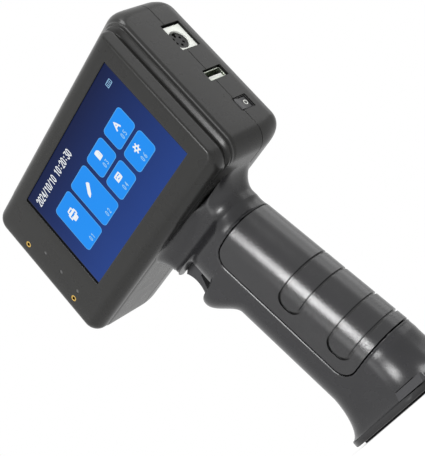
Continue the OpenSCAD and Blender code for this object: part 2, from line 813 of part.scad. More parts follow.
module status_windows() color("#6a6a6c") for (k = [-1, 0, 1])
    rod_y([mark_x, face_y + 0.2, mark_z + k * mark_step], mark_r, wall - 0.2);

module brass_inserts() color("#a98a4a") for (s = [-1, 1]) difference() {
    rod_y([insert_x, face_y + 0.1, insert_z + s * insert_gap / 2], insert_r, insert_len - 0.1);
    rod_y([insert_x, face_y - 1, insert_z + s * insert_gap / 2], insert_bore_r, far);
}

module case_screws() color("#8a8d90") for (p = posts) difference() {
    union() {
        rod_y([p[0], back_y - head_sink, p[1]], head_r, head_h);
        rod_y([p[0], face_y + wall + 0.5, p[1]], screw_r, body_depth - head_sink - wall);
    }
    rod_y([p[0], back_y - head_sink + head_h / 2, p[1]], socket_r, far, $fn = 6);
}

module grip_screws() color("#8a8d90") for (p = grip_screw_at) difference() {
    union() {
        rod_y([p[0], grip_head_y, p[1]], head_r, head_h);
        rod_y([p[0], grip_tip_y + 0.5, p[1]], screw_r, grip_head_y - grip_tip_y);
    }
    rod_y([p[0], grip_head_y + head_h / 2, p[1]], socket_r, far, $fn = 6);
}

module nose_plate() color("#3f4042") difference() {
    union() {
        slab_x(front_x, bay_x) round_rect([plate_near + fit_gap, nose_low + fit_gap],
            [plate_far - fit_gap, nose_high - fit_gap], 4 - fit_gap, 4 - fit_gap);
        for (y = [roller_near_y, roller_far_y], z = [lug_z, lug_top - lug_t])
            box([bay_x - eps, y - 2.6, z], [roller_x + 3, y + 2.6, z + lug_t]);
    }
    box([front_x - 1, cart_y - cart_w / 2 - fit_gap, cart_z - cart_h / 2 - fit_gap],
        [bay_x + 1, cart_y + cart_w / 2 + fit_gap, cart_z + cart_h / 2 + fit_gap]);
    box([front_x - 1, wheel_y - tyre_r + 1, wheel_z - 0.5], [bay_x + eps, wheel_y + tyre_r - 1, wheel_top + 0.5]);
    for (y = [roller_near_y, roller_far_y]) {
        box([front_x - 1, y - roller_r - 0.3, roller_z - side_gap],
            [bay_x + eps, y + roller_r + 0.3, roller_z + roller_w + side_gap]);
        rod_z([roller_x, y, 0], pin_r + pin_fit, far * 2);
    }
    for (p = nose_screw_at) {
        rod_x([front_x - 1, p[0], p[1]], nose_screw_r + screw_gap, far);
        rod_x([front_x - 1, p[0], p[1]], nose_head_r + screw_gap, 2);
    }
}

module nose_screws() color("#8a8d90") for (p = nose_screw_at) difference() {
    union() {
        rod_x([front_x + 0.1, p[0], p[1]], nose_head_r, 0.9);
        rod_x([front_x + 0.5, p[0], p[1]], nose_screw_r, front_wall + 2.4);
    }
    rod_x([front_x - 1, p[0], p[1]], 0.9, 1.6, $fn = 6);
}

module cart_box(in, a, b) {
    slab_x(a, b) round_rect([cart_y - cart_w / 2 - in, cart_z - cart_h / 2 - in],
        [cart_y + cart_w / 2 + in, cart_z + cart_h / 2 + in], 2 + in, 2 + in);
}

module pin_grid(x, w, len) {
    for (y = [cart_y - pin_step, cart_y + pin_step], k = [0:pin_rows - 1]) {
        z = cart_z + pin_up + pin_step * k;
        box([x, y - w, z - w], [x + len, y + w, z + w]);
    }
}

module cartridge_bay() color("#3a3b3d") difference() {
    cart_box(fit_gap + bay_t, bay_x, bay_end + bay_t);
    cart_box(fit_gap, bay_x - 1, bay_end);
    pin_grid(bay_end - 1, 0.8, 4);
}

module ink_cartridge() color("#232427") difference() {
    cart_box(0, cart_x, cart_x + cart_len);
    box([cart_x - 1, cart_y - jet_w / 2, cart_z - jet_h / 2], [cart_x + 0.3, cart_y + jet_w / 2, cart_z + jet_h / 2]);
    for (z = [cart_z - hold_z, cart_z + hold_z])
        box([cart_x - 1, cart_y - hold_w / 2, z - hold_h / 2], [cart_x + 3, cart_y + hold_w / 2, z + hold_h / 2]);
}

module nozzle_plate() color("#c9a24a") difference() {
    box([cart_x - 0.1, cart_y - jet_w / 2, cart_z - jet_h / 2], [cart_x + 0.3, cart_y + jet_w / 2, cart_z + jet_h / 2]);
    for (y = [cart_y - row_y, cart_y + row_y])
        box([cart_x - 1, y - 0.3, cart_z - jet_h / 2 + 3], [cart_x + 0.1, y + 0.3, cart_z + jet_h / 2 - 3]);
}

module contact_block() color("#d8d6cf") difference() {
    box([bay_end + bay_t, cart_y - 2 * pin_step, cart_z + pin_up - pin_step],
        [bay_end + bay_t + 3, cart_y + 2 * pin_step, cart_z + pin_up + pin_rows * pin_step]);
    pin_grid(bay_end, 0.5, far);
}

module contact_pins() color("#c8b070") pin_grid(bay_end - 0.9, 0.5, bay_t + 3.9);

module wheel_bracket() color("#8f9396") {
    back = wheel_x + tyre_r + 1;
    difference() {
        union() {
            box([back - 6.5, wheel_y - 5, bay_top], [back + arm_t, wheel_y + 5, bay_top + 1.2]);
            box([back, wheel_y - 5, bay_top], [back + arm_t, wheel_y + 5, arm_z + arm_t]);
            box([wheel_x - bush_r - 0.6, wheel_y - 5, arm_z], [back + arm_t, wheel_y + 5, arm_z + arm_t]);
        }
        rod_z([wheel_x, wheel_y, arm_z - 1], bush_r + pin_fit, 4);
    }
}

module wheel_hub() color("#5a5c5f") difference() {
    rod_z([wheel_x, wheel_y, wheel_z], hub_r, wheel_w);
    rod_z([wheel_x, wheel_y, wheel_z - 1], pin_r, far);
    for (k = [0:4]) rod_z([wheel_x + 4.8 * cos(72 * k), wheel_y + 4.8 * sin(72 * k), wheel_z - 1], 1.5, far);
}

module wheel_tyre() color("#1d1d1e") difference() {
    rod_z([wheel_x, wheel_y, wheel_z], tyre_r, wheel_w);
    rod_z([wheel_x, wheel_y, wheel_z - 1], hub_r, far);
}

module wheel_shaft() color("#a8abae") rod_z([wheel_x, wheel_y, bay_top + 0.3], pin_r, arm_z + arm_t - bay_top - 0.4);

module encoder_disc() color("#9db4c4") difference() {
    rod_z([wheel_x, wheel_y, wheel_top], disc_r, disc_t);
    rod_z([wheel_x, wheel_y, wheel_top - 1], pin_r, far);
    for (k = [0:11]) translate([wheel_x, wheel_y, wheel_top - 1]) rotate([0, 0, 30 * k])
        translate([4, -0.4, 0]) cube([1.4, 0.8, 4]);
}

module encoder_sensor() color("#222325")
    box([wheel_x + 3.2, wheel_y - 2.5, wheel_top + disc_t + 0.6], [wheel_x + 7.2, wheel_y + 2.5, arm_z]);

module wheel_bearings() color("#b8a060") {
    for (z = [bay_top, arm_z - 0.4]) difference() {
        rod_z([wheel_x, wheel_y, z], bush_r, z > bay_top ? arm_t + 0.8 : bush_h);
        rod_z([wheel_x, wheel_y, z - 1], pin_r + run_gap, 5);
    }
}

module roller(y) {
    difference() {
        rod_z([roller_x, y, roller_z], roller_r, roller_w);
        rod_z([roller_x, y, roller_z - 1], pin_r + run_gap, 5);
    }
}

module roller_near() color("#d5d6d4") roller(roller_near_y);

module roller_far() color("#d5d6d4") roller(roller_far_y);

module roller_pins() color("#a8abae") for (y = [roller_near_y, roller_far_y])
    rod_z([roller_x, y, lug_z], pin_r, lug_top - lug_z);

// The blade under the boss, with its hollow for the finger and the tab that works the switch
module trigger_side() {
    difference() {
        polygon([[0, boss_r], [-boss_r, 0], [-trigger_reach, -face_top], [-trigger_reach, -trigger_len],
            [blade_t - trigger_reach, -trigger_len], [-tab_t, -tab_drop - tab_t],
            [tab_reach - 0.6, -tab_drop - tab_t], [tab_reach, -tab_drop], [boss_r, 0]]);
        translate([finger_deep - trigger_reach - finger_r, -(face_top + trigger_len) / 2]) circle(finger_r);
    }
}

module trigger() color("#2e2f31") translate([trigger_x, 0, trigger_z]) difference() {
    union() {
        rod_y([0, -trigger_w / 2, 0], boss_r, trigger_w);
        slab_y(-trigger_w / 2, trigger_w / 2) trigger_side();
    }
    rod_y([0, -trigger_w, 0], pin_r + run_gap, 2 * trigger_w);
    rod_y([0, trigger_w / 5, 0], boss_r - 0.2, trigger_w);
}

module trigger_pin() color("#a8abae")
    rod_y([trigger_x, -slot_half - 3, trigger_z], pin_r, slot_half + 3 + split_y - 0.2);

module trigger_spring() color("#b4b7ba") translate([trigger_x, 2.6, trigger_z]) {
    for (k = [0:2]) translate([0, 0.5 + 0.8 * k, 0]) rotate([90, 0, 0]) rotate_extrude() translate([spring_r, 0]) circle(wire_r);
    box([0, 0.5 - 0.3, spring_r - 0.3], [2.6, 0.5 + 0.3, spring_r + 0.3]);
}

module trigger_switch() color("#1d1e20") difference() {
    box([switch_x, -switch_w / 2, tab_z - switch_len / 2],
        [switch_x + switch_len, switch_w / 2, tab_z + switch_len / 2]);
    rod_x([switch_x - 1, 0, tab_z], plunger_r + run_gap, 5.5);
}

module switch_plunger() color("#c43c2c") rod_x([tab_x + 0.3, 0, tab_z], plunger_r, switch_x - tab_x + 1.8);

module cell(x) {
    rake() {
        rod_z([x, cell_y, cell_z], cell_r, cell_len);
    }
}

module battery_cell_front() color("#2f6fb0") cell(cell_shift - cell_x);

module battery_cell_rear() color("#2f6fb0") cell(cell_shift + cell_x);

module battery_holder() color("#26272a") {
    intersection() {
        column(bay_in + fit_gap, cell_z - 4, cell_z + cell_len + 4);
        rake() {
            box([-half_d, tray_y, cell_z - cell_gap - holder_t], [half_d, half_w, cell_z + cell_len + cell_gap + holder_t]);
            for (z = [cell_z - cell_gap - holder_t, cell_z + cell_len + cell_gap])
                box([-half_d, -half_w, z], [half_d, half_w, z + holder_t]);
        }
    }
    rake() for (z = [cell_z + 6, cell_z + cell_len - 12])
        box([-11, tray_y + 1, z], [5, holder_back, z + 6]);
}

module battery_board() color("#1f6b3a") rake()
    box([cell_shift - 16, cell_y - 7, cell_z + cell_len + cell_gap + holder_t],
        [cell_shift + 15, cell_y + 8, cell_z + cell_len + cell_gap + holder_t + board_t]);

module foot_plate() color("#3c3d3f") difference() {
    slab_z(foot_z, plate_z) round_rect([wall + fit_gap - toe, wall + fit_gap - foot_w / 2],
        [toe - wall - fit_gap, foot_w / 2 - wall - fit_gap], foot_r - wall - fit_gap, foot_r - wall - fit_gap);
    for (p = foot_screw_at) {
        rod_z([p[0], p[1], 0], screw_r + screw_gap, far);
        rod_z([p[0], p[1], 0], head_r + screw_gap, foot_z + 1.8);
    }
}

module foot_pad() color("#1b1b1c") difference() {
    slab_z(0, pad_t) round_rect([wall + 2 - toe, wall + 2 - foot_w / 2], [toe - wall - 2, foot_w / 2 - wall - 2],
        foot_r - wall - 2, foot_r - wall - 2);
    for (p = foot_screw_at) rod_z([p[0], p[1], -1], head_r + 0.5, 4);
}

module foot_screws() color("#8a8d90") for (p = foot_screw_at) difference() {
    union() {
        rod_z([p[0], p[1], foot_z + 0.2], head_r, 1.6);
        rod_z([p[0], p[1], foot_z + 1], screw_r, foot_t + 2.5);
    }
    rod_z([p[0], p[1], 0], socket_r, foot_z + 1, $fn = 6);
}

// How far out the foot's near side is at a height on its flare
function flare_y(z) = half_w + (foot_w / 2 - half_w)
    * (1 - cos(asin(1 - max(0, z - flare_z) / (flare_h - flare_z))));

module latch_button() color("#3a3b3d") difference() {
    slab_x(latch_x, latch_x + latch_len) polygon([[-latch_seat - latch_deep, latch_z],
        [-flare_y(latch_z) - latch_out, latch_z], [-flare_y(latch_z + latch_h) - latch_out, latch_z + latch_h],
        [-latch_seat - latch_deep, latch_z + latch_h]]);
    for (k = [-3:3]) box([latch_x + latch_len / 2 + 2 * k - 0.4, -far, latch_z + 1],
        [latch_x + latch_len / 2 + 2 * k + 0.4, -flare_y(latch_z) + 0.1, latch_z + latch_h - 0.8]);
}

module latch_spring() color("#b4b7ba") {
    box([latch_x + 2, -latch_seat - 0.3, latch_z + 1], [latch_x + latch_len - 2, -latch_seat, latch_z + latch_h - 1]);
    box([latch_x + 6, -latch_seat - 0.6, latch_z + 1], [latch_x + latch_len - 6, -latch_seat - 0.2, latch_z + latch_h - 1]);
}

screen_bezel();
near_shell();
far_shell();
backstrap_cover();
display_glass();
lcd_panel();
board_standoffs();
main_board();
board_chips();
buzzer();
port_board();
din_housing();
din_insert();
din_contacts();
usb_shell();
usb_tongue();
rocker_frame();
rocker_button();
status_windows();
brass_inserts();
case_screws();
grip_screws();
nose_plate();
nose_screws();
cartridge_bay();
ink_cartridge();
nozzle_plate();
contact_block();
contact_pins();
wheel_bracket();
wheel_hub();
wheel_tyre();
wheel_shaft();
encoder_disc();
encoder_sensor();
wheel_bearings();
roller_near();
roller_far();
roller_pins();
trigger();
trigger_pin();
trigger_spring();
trigger_switch();
switch_plunger();
battery_cell_front();
battery_cell_rear();
battery_holder();
battery_board();
foot_plate();
foot_pad();
foot_screws();
latch_button();
latch_spring();
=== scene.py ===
"""A handheld date code inkjet printer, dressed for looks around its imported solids.

Every length is in metres, in the frame of the solids: +Z up, +X the rear with the sockets,
-Y the side with the screen, and the origin in the middle of the foot's underside.
"""

import logging
import math
from dataclasses import dataclass, field
from enum import Enum

import bpy
import numpy as np
from mathutils import Matrix, Vector

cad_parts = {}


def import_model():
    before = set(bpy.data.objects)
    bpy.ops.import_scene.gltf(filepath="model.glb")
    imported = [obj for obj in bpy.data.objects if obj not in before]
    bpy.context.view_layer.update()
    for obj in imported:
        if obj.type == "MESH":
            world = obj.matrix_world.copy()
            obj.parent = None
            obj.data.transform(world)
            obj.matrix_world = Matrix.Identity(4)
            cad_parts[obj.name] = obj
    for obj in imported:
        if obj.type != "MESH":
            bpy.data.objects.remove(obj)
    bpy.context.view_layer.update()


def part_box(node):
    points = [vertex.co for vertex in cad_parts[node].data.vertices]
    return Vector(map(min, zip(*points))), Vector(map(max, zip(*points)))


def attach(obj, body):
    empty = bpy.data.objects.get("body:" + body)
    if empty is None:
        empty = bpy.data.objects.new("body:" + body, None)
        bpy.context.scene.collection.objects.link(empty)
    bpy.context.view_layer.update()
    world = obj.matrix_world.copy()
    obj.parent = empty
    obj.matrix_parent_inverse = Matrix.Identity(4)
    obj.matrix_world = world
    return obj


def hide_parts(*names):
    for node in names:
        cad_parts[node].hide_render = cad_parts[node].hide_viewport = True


LOG = logging.getLogger("printer")
MM = 0.001
GROOVE_SHADE_REACH = 2.0 * MM  # how near a face has to be for painted shade to darken a groove
SHADE_REACH = 30.0 * MM  # how near a face has to be for painted shade to darken a sheltered corner
WEAR_LIFT = 2.2  # how much lighter than the rest a fully worn edge is
GLOSS_SPREAD = 0.05  # how far the roughness strays to either side
# DEEP_SHADE is the colour that painted shade darkens grooves and sheltered corners towards
DEEP_SHADE = (0.002, 0.002, 0.002, 1.0)
UNLIT = (0.004, 0.004, 0.006, 1.0)  # the body colour under a surface that glows
WHITE_LIGHT = (1.0, 1.0, 1.0, 1.0)
WELL_RADIUS = 2.95 * MM  # of the wells that the screws' heads lie in
Grid = np.ndarray


class Body(Enum):
    """The bodies that the added pieces ride on."""

    PRINTER = "printer_body"
    ROCKER = "rocker_body"


class Grain(Enum):
    """How a surface's fine relief is made."""

    SPARK = "spark eroded moulding"
    BRUSHED = "lines along one axis"
    PEBBLE = "rounded pebbles, as soft rubber has"
    SMOOTH = "faint ripples only"


def linear(colour: tuple[float, float, float]) -> tuple[float, float, float, float]:
    """Turns a display colour from 0 to 255 into the scene's linear colour.

    Args:
        colour: Red, green and blue as a screen shows them.

    Returns:
        Linear red, green, blue, and an alpha of 1.
    """
    c = np.array(colour, float) / 255.0
    out = np.where(c <= 0.04045, c / 12.92, ((c + 0.055) / 1.055) ** 2.4)
    return (float(out[0]), float(out[1]), float(out[2]), 1.0)


class Nodes:
    """Adds and joins shader nodes in one tree."""

    def __init__(self, tree: bpy.types.NodeTree) -> None:
        """Starts on an empty tree.

        Args:
            tree: The node tree to fill.
        """
        self.tree = tree
        tree.nodes.clear()

    def add(self, kind: str, *feeds: bpy.types.NodeSocket, **inputs: object) -> bpy.types.Node:
        """Adds a node, sets its properties and its inputs, and joins what feeds it.

        Args:
            kind: The node's type name after "ShaderNode".
            feeds: Outputs of other nodes that go into the first sockets, in order.
            inputs: Values or outputs of other nodes, by property name, or by socket name with
                spaces as underscores.

        Returns:
            The new node.
        """
        node = self.tree.nodes.new("ShaderNode" + kind)
        for key, value in inputs.items():
            if hasattr(node, key):
                setattr(node, key, value)
            elif isinstance(value, bpy.types.NodeSocket):
                self.tree.links.new(value, node.inputs[key.replace("_", " ")])
            else:
                node.inputs[key.replace("_", " ")].default_value = value
        for out, into in zip(feeds, node.inputs):
            self.tree.links.new(out, into)
        return node

    def mix(self, first: object, second: object, share: bpy.types.NodeSocket) -> bpy.types.NodeSocket:
        """Mixes two colours.

        Args:
            first: The colour at a share of 0, as numbers or as a node's output.
            second: The colour at a share of 1.
            share: The output that gives the share.

        Returns:
            The mixed colour.
        """
        return self.add("Mix", data_type="RGBA", A=first, B=second, Factor=share).outputs["Result"]


@dataclass(frozen=True)
class Finish:
    """One material: its colour, its gloss, its fine relief and its unevenness.

    grain_mm and depth_mm are the width and height of the fine relief. mottle is how far the colour
    strays over patches mottle_mm wide, and wear how much lighter edges rounded by rounding_mm are.
    The two amounts after glow are painted shade: how much grooves and sheltered corners darken, both used
    only where the first isn't 0. A finish with a glow is lit, and may fade to the upper colour at the
    screen's top.
    """

    name: str
    colour: tuple[float, float, float]
    roughness: float
    metallic: float = 0.0
    grain: Grain = Grain.SPARK
    grain_mm: float = 0.35
    depth_mm: float = 0.03
    mottle: float = 0.08
    mottle_mm: float = 9.0
    wear: float = 0.25
    rounding_mm: float = 0.25
    specular: float = 0.3
    glow: float = 0.0
    # painted shade: in grooves, and in corners that other faces stand over
    groove_shade: float = 0.0
    shade: float = 0.85
    upper: tuple[float, float, float] | None = None

    def _relief(self, nodes: Nodes, place: bpy.types.NodeSocket) -> bpy.types.NodeSocket:
        """Makes the height of the fine relief.

        Args:
            nodes: The tree's helper.
            place: The object coordinates.

        Returns:
            The socket that gives the height, from 0 to 1.
        """
        scale = 1.0 / (self.grain_mm * MM)
        if self.grain is Grain.PEBBLE:
            cells = nodes.add("TexVoronoi", feature="SMOOTH_F1", Scale=scale, Smoothness=0.6, Vector=place)
            return cells.outputs["Distance"]
        if self.grain is Grain.BRUSHED:
            place = nodes.add("Mapping", Scale=(0.04, 1.0, 1.0), Vector=place).outputs["Vector"]
        detail = 1.0 if self.grain is Grain.SMOOTH else 3.0
        return nodes.add("TexNoise", Scale=scale, Detail=detail, Roughness=0.6, Vector=place).outputs["Fac"]

    def _edges(self, nodes: Nodes) -> tuple[bpy.types.NodeSocket, bpy.types.NodeSocket]:
        """Rounds sharp edges in shading, and marks them for wear.

        The dot product of the true normal and the rounded one is 1 on flats and falls on edges.

        Args:
            nodes: The tree's helper.

        Returns:
            The rounded normal, and a mask from 0 on flats to 1 on edges.
        """
        rounded = nodes.add("Bevel", samples=4, Radius=self.rounding_mm * MM).outputs["Normal"]
        true = nodes.add("NewGeometry").outputs["Normal"]
        dot = nodes.add("VectorMath", rounded, true, operation="DOT_PRODUCT").outputs["Value"]
        return rounded, nodes.add("MapRange", From_Min=0.998, From_Max=0.90, Value=dot).outputs["Result"]

    def _paint_shade(
        self, nodes: Nodes, colour: bpy.types.NodeSocket, reach: float, most: float
    ) -> bpy.types.NodeSocket:
        """Paints shade into a colour where other faces stand close over it, darker as ambient occlusion
        falls.

        Args:
            nodes: The tree's helper.
            colour: The colour on open faces.
            reach: How far away a face still shelters.
            most: The share of the colour that the closest faces take.

        Returns:
            The colour with painted shade in grooves and sheltered corners.
        """
        sky = nodes.add("AmbientOcclusion", samples=6, Distance=reach).outputs["AO"]
        share = nodes.add("MapRange", From_Min=0.25, From_Max=0.90, To_Min=most, To_Max=0.0, Value=sky)
        return nodes.mix(colour, DEEP_SHADE, share.outputs["Result"])

    def _fade(
        self, nodes: Nodes, place: bpy.types.NodeSocket, colour: bpy.types.NodeSocket
    ) -> bpy.types.NodeSocket:
        """Turns the colour gradually into the upper colour over the screen's height.

        Args:
            nodes: The tree's helper.
            place: The object coordinates.
            colour: The colour at the screen's foot.

        Returns:
            The fading colour.
        """
        low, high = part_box("display_glass")
        up = nodes.add("SeparateXYZ", place).outputs["Z"]
        share = nodes.add("MapRange", From_Min=low.z, From_Max=high.z, Value=up).outputs["Result"]
        return nodes.mix(colour, linear(self.upper), share)

    def _shade(self, factor: float) -> tuple[float, float, float, float]:
        """Gives the colour made lighter or darker by a factor, linear."""
        return tuple(min(1.0, c * factor) for c in linear(self.colour)[:3]) + (1.0,)

    def material(self) -> bpy.types.Material:
        """Builds the material, or gives the one already built under this name.

        Returns:
            The material with its node tree.
        """
        made = bpy.data.materials.get(self.name)
        if made is not None and made.get("finish"):
            return made
        mat = bpy.data.materials.new(self.name)
        mat["finish"] = True
        mat.use_nodes = True
        nodes = Nodes(mat.node_tree)
        place = nodes.add("TexCoord").outputs["Object"]
        size = self.mottle_mm * MM
        cloud = nodes.add("TexNoise", Scale=1.0 / size, Detail=4.0, Vector=place).outputs["Fac"]
        tone = nodes.mix(self._shade(1.0 - self.mottle), self._shade(1.0 + self.mottle), cloud)
        rounded, edge = self._edges(nodes)
        low, high = max(0.02, self.roughness - GLOSS_SPREAD), min(1.0, self.roughness + GLOSS_SPREAD)
        gloss = nodes.add("MapRange", To_Min=low, To_Max=high, Value=cloud).outputs["Result"]
        height = self._relief(nodes, place)
        bump = nodes.add("Bump", Strength=1.0, Distance=self.depth_mm * MM, Height=height, Normal=rounded)
        if self.glow:
            lit = self._fade(nodes, place, tone) if self.upper else tone
            colours = {"Base_Color": UNLIT, "Emission_Color": lit, "Emission_Strength": self.glow}
        else:
            colour = nodes.mix(tone, self._shade(1.0 + WEAR_LIFT * self.wear), edge)
            # Painted shade: grooves and sheltered corners darkened in the colour by ambient occlusion
            if self.groove_shade:
                colour = self._paint_shade(nodes, colour, GROOVE_SHADE_REACH, self.groove_shade)
                colour = self._paint_shade(nodes, colour, SHADE_REACH, self.shade)
            colours = {"Base_Color": colour}
        shader = nodes.add(
            "BsdfPrincipled", Metallic=self.metallic, Specular_IOR_Level=self.specular, Roughness=gloss,
            Normal=bump.outputs["Normal"], **colours)
        nodes.add("OutputMaterial", shader.outputs["BSDF"])
        return mat

    def dress(self, *names: str) -> None:
        """Gives this finish to solids by their node names.

        Args:
            names: The nodes to dress.
        """
        for name in names:
            solid = bpy.data.objects[name]
            if not solid.material_slots:
                solid.data.materials.append(self.material())
            for slot in solid.material_slots:
                slot.material = self.material()
            LOG.info("dressed %s in %s", name, self.name)


# The finishes of this printer
# The case, grip and strap paint shade into their grooves and sheltered corners.
CASE = Finish(
    "case_charcoal", (36, 36, 35), 0.28,
    grain_mm=0.28, depth_mm=0.012, mottle=0.05, specular=0.24, groove_shade=0.9)
GRIP = Finish(
    "grip_soft_touch", (36, 36, 38), 0.27,
    grain_mm=0.40, depth_mm=0.016, mottle=0.06, specular=0.40, groove_shade=0.9)
STRAP = Finish(
    "strap_soft_touch", (25, 25, 27), 0.25, grain_mm=0.8, depth_mm=0.07, specular=0.60, groove_shade=0.95)
FOOT_PLASTIC = Finish("foot_charcoal", (58, 58, 60), 0.48)
FOOT_RUBBER = Finish("foot_rubber", (30, 30, 31), 0.85, grain=Grain.PEBBLE, grain_mm=0.8, depth_mm=0.08)
GLASS = Finish("screen_glass", (10, 12, 18), 0.08, grain=Grain.SMOOTH, depth_mm=0.001, mottle=0.02, wear=0.1)
LENS = Finish("window_lens", (84, 84, 84), 0.25, grain=Grain.SMOOTH, depth_mm=0.004)
BRASS = Finish("insert_brass", (202, 168, 92), 0.26, 1.0, grain=Grain.BRUSHED, grain_mm=0.2, depth_mm=0.01)
STEEL = Finish("plain_steel", (150, 150, 152), 0.30, 1.0, grain=Grain.BRUSHED, grain_mm=0.2, depth_mm=0.008)
SCREW = Finish("screw_steel", (120, 121, 124), 0.34, 1.0, grain=Grain.BRUSHED, grain_mm=0.25, depth_mm=0.01)
SOCKET_BLACK = Finish("socket_black", (24, 24, 25), 0.42, grain_mm=0.2, depth_mm=0.01)
BUTTON = Finish("rocker_charcoal", (52, 52, 54), 0.38, grain_mm=0.2, depth_mm=0.01)
SOCKET_PALE = Finish("socket_pale", (246, 252, 242), 0.35, grain_mm=0.2, depth_mm=0.008)
TONGUE = Finish("socket_white", (232, 234, 228), 0.40, grain_mm=0.2, depth_mm=0.006)
SHELL_METAL = Finish("shell_tinplate", (190, 196, 184), 0.28, 1.0, grain=Grain.BRUSHED, grain_mm=0.15)
BOARD = Finish("board_green", (22, 84, 52), 0.45, grain_mm=0.6, depth_mm=0.01, mottle_mm=3.0)
CHIP = Finish("chip_black", (26, 26, 28), 0.5, grain_mm=0.15, depth_mm=0.006)
GOLD = Finish("contact_gold", (210, 170, 90), 0.25, 1.0, grain=Grain.SMOOTH, depth_mm=0.002)
INK_CASE = Finish("cartridge_black", (28, 28, 30), 0.38, grain_mm=0.25, depth_mm=0.01)
NOZZLE = Finish("nozzle_copper", (150, 112, 70), 0.3, 0.8, grain=Grain.SMOOTH, grain_mm=0.5, depth_mm=0.004)
TYRE = Finish("tyre_rubber", (34, 34, 35), 0.8, grain=Grain.PEBBLE, grain_mm=0.5, depth_mm=0.05)
CELL = Finish("cell_sleeve", (40, 96, 150), 0.35, grain=Grain.SMOOTH, grain_mm=1.5, depth_mm=0.01)
HOLDER = Finish("holder_black", (36, 37, 40), 0.5)
RED = Finish("plunger_red", (176, 52, 40), 0.4, grain_mm=0.2, depth_mm=0.006)


@dataclass
class Studio:
    """The pale floor, the soft lamps, the white surround and the camera."""

    camera_at: tuple[float, float, float] = (0.35030, -0.40107, 0.01469)
    heading: float = 42.4929
    rise: float = 14.1483
    roll: float = -41.9528
    lens: float = 93.0744
    shift: tuple[float, float] = (0.0647, -0.0871)
    lamps: tuple[tuple[tuple[float, float, float], tuple[float, float], float], ...] = (
        ((0.18, -0.76, 0.26), (0.36, 0.16), 5.4),
        ((-0.62, -0.62, 0.62), (0.80, 0.80), 0.4),
        ((-0.30, -0.78, 0.03), (0.30, 0.30), 1.0),
        ((0.10, -0.35, 0.95), (0.50, 0.50), 1.0),
        ((0.62, 0.10, 0.85), (0.40, 0.40), 5.0),
        ((0.40, 0.80, 0.45), (0.50, 0.50), 1.0),
    )
    aim: tuple[float, float, float] = (-0.02, 0.0, 0.13)
    floor_half: float = 6.0
    fade: tuple[float, float] = (0.10, 0.45)
    ambient: float = 0.22
    paper: float = 0.60
    paper_glow: float = 0.64

    def camera(self) -> None:
        """Sets the camera from a heading left of +Y, a rise above level and a roll about its axis."""
        data = bpy.data.cameras.new("camera")
        data.lens = self.lens
        data.sensor_fit = "HORIZONTAL"
        data.shift_x, data.shift_y = self.shift
        data.clip_start = 0.01
        cam = bpy.data.objects.new("camera", data)
        bpy.context.scene.collection.objects.link(cam)
        turn = Matrix.Rotation(math.radians(self.heading), 4, "Z")
        tilt = Matrix.Rotation(math.radians(90.0 + self.rise), 4, "X")
        spin = Matrix.Rotation(math.radians(self.roll), 4, "Z")
        cam.matrix_world = Matrix.Translation(self.camera_at) @ turn @ tilt @ spin
        bpy.context.scene.camera = cam

    def light(self) -> None:
        """Hangs area lamps, each as wide and tall as its size says, that face the printer."""
        for i, (place, size, power) in enumerate(self.lamps):
            data = bpy.data.lights.new(f"softbox_{i}", "AREA")
            data.shape = "RECTANGLE"
            data.size, data.size_y = size
            data.energy = power
            lamp = bpy.data.objects.new(f"softbox_{i}", data)
            bpy.context.scene.collection.objects.link(lamp)
            lamp.location = place
            lamp.rotation_euler = (Vector(self.aim) - Vector(place)).to_track_quat("-Z", "Y").to_euler()

    def _seen(self, nodes: Nodes) -> bpy.types.NodeSocket:
        """Gives 1 for rays that come from the eye, a mirror or glass, and 0 for the rest."""
        ray = nodes.add("LightPath").outputs
        both = nodes.add("Math", ray["Is Camera Ray"], ray["Is Glossy Ray"], operation="MAXIMUM").outputs[0]
        return nodes.add("Math", both, ray["Is Transmission Ray"], operation="MAXIMUM").outputs[0]

    def surround(self) -> None:
        """Makes the world: white where it is seen, and a soft grey light elsewhere."""
        world = bpy.data.worlds.new("surround")
        bpy.context.scene.world = world
        world.use_nodes = True
        nodes = Nodes(world.node_tree)
        soft = nodes.add("Background", Color=WHITE_LIGHT, Strength=self.ambient).outputs[0]
        white = nodes.add("Background", Color=WHITE_LIGHT, Strength=1.0).outputs[0]
        nodes.add("OutputWorld", nodes.add("MixShader", self._seen(nodes), soft, white).outputs[0])

    def floor(self) -> None:
        """Lays a pale floor whose paper fades into the white surround away from the printer.

        The share of white is a smooth step of the distance from the foot, and only the eye,
        mirrors and glass see it. The shadow near the foot stays.
        """
        u = np.linspace(-1.0, 1.0, 65)
        x, y = np.meshgrid(u * self.floor_half, u * self.floor_half, indexing="ij")
        sheet = Surface("floor", np.stack([x, y, np.full(x.shape, -0.2 * MM)], -1)).build()
        mat = bpy.data.materials.new("floor_paper")
        mat.use_nodes = True
        nodes = Nodes(mat.node_tree)
        paper = nodes.add("BsdfDiffuse", Color=(self.paper,) * 3 + (1.0,)).outputs[0]
        glow = nodes.add("Emission", Color=WHITE_LIGHT, Strength=self.paper_glow).outputs[0]
        white = nodes.add("Emission", Color=WHITE_LIGHT, Strength=1.0).outputs[0]
        spot = nodes.add("TexCoord").outputs["Object"]
        far = nodes.add("VectorMath", spot, operation="LENGTH").outputs["Value"]
        near_end, far_end = self.fade
        share = nodes.add(
            "MapRange", far, interpolation_type="SMOOTHSTEP", From_Min=near_end, From_Max=far_end)
        lit = nodes.add("AddShader", paper, glow).outputs[0]
        fading = nodes.add("MixShader", share.outputs["Result"], lit, white).outputs[0]
        pick = nodes.add("MixShader", self._seen(nodes), paper, fading).outputs[0]
        nodes.add("OutputMaterial", pick)
        sheet.data.materials.append(mat)

    def build(self) -> None:
        """Makes the whole studio."""
        self.camera()
        self.light()
        self.surround()
        self.floor()


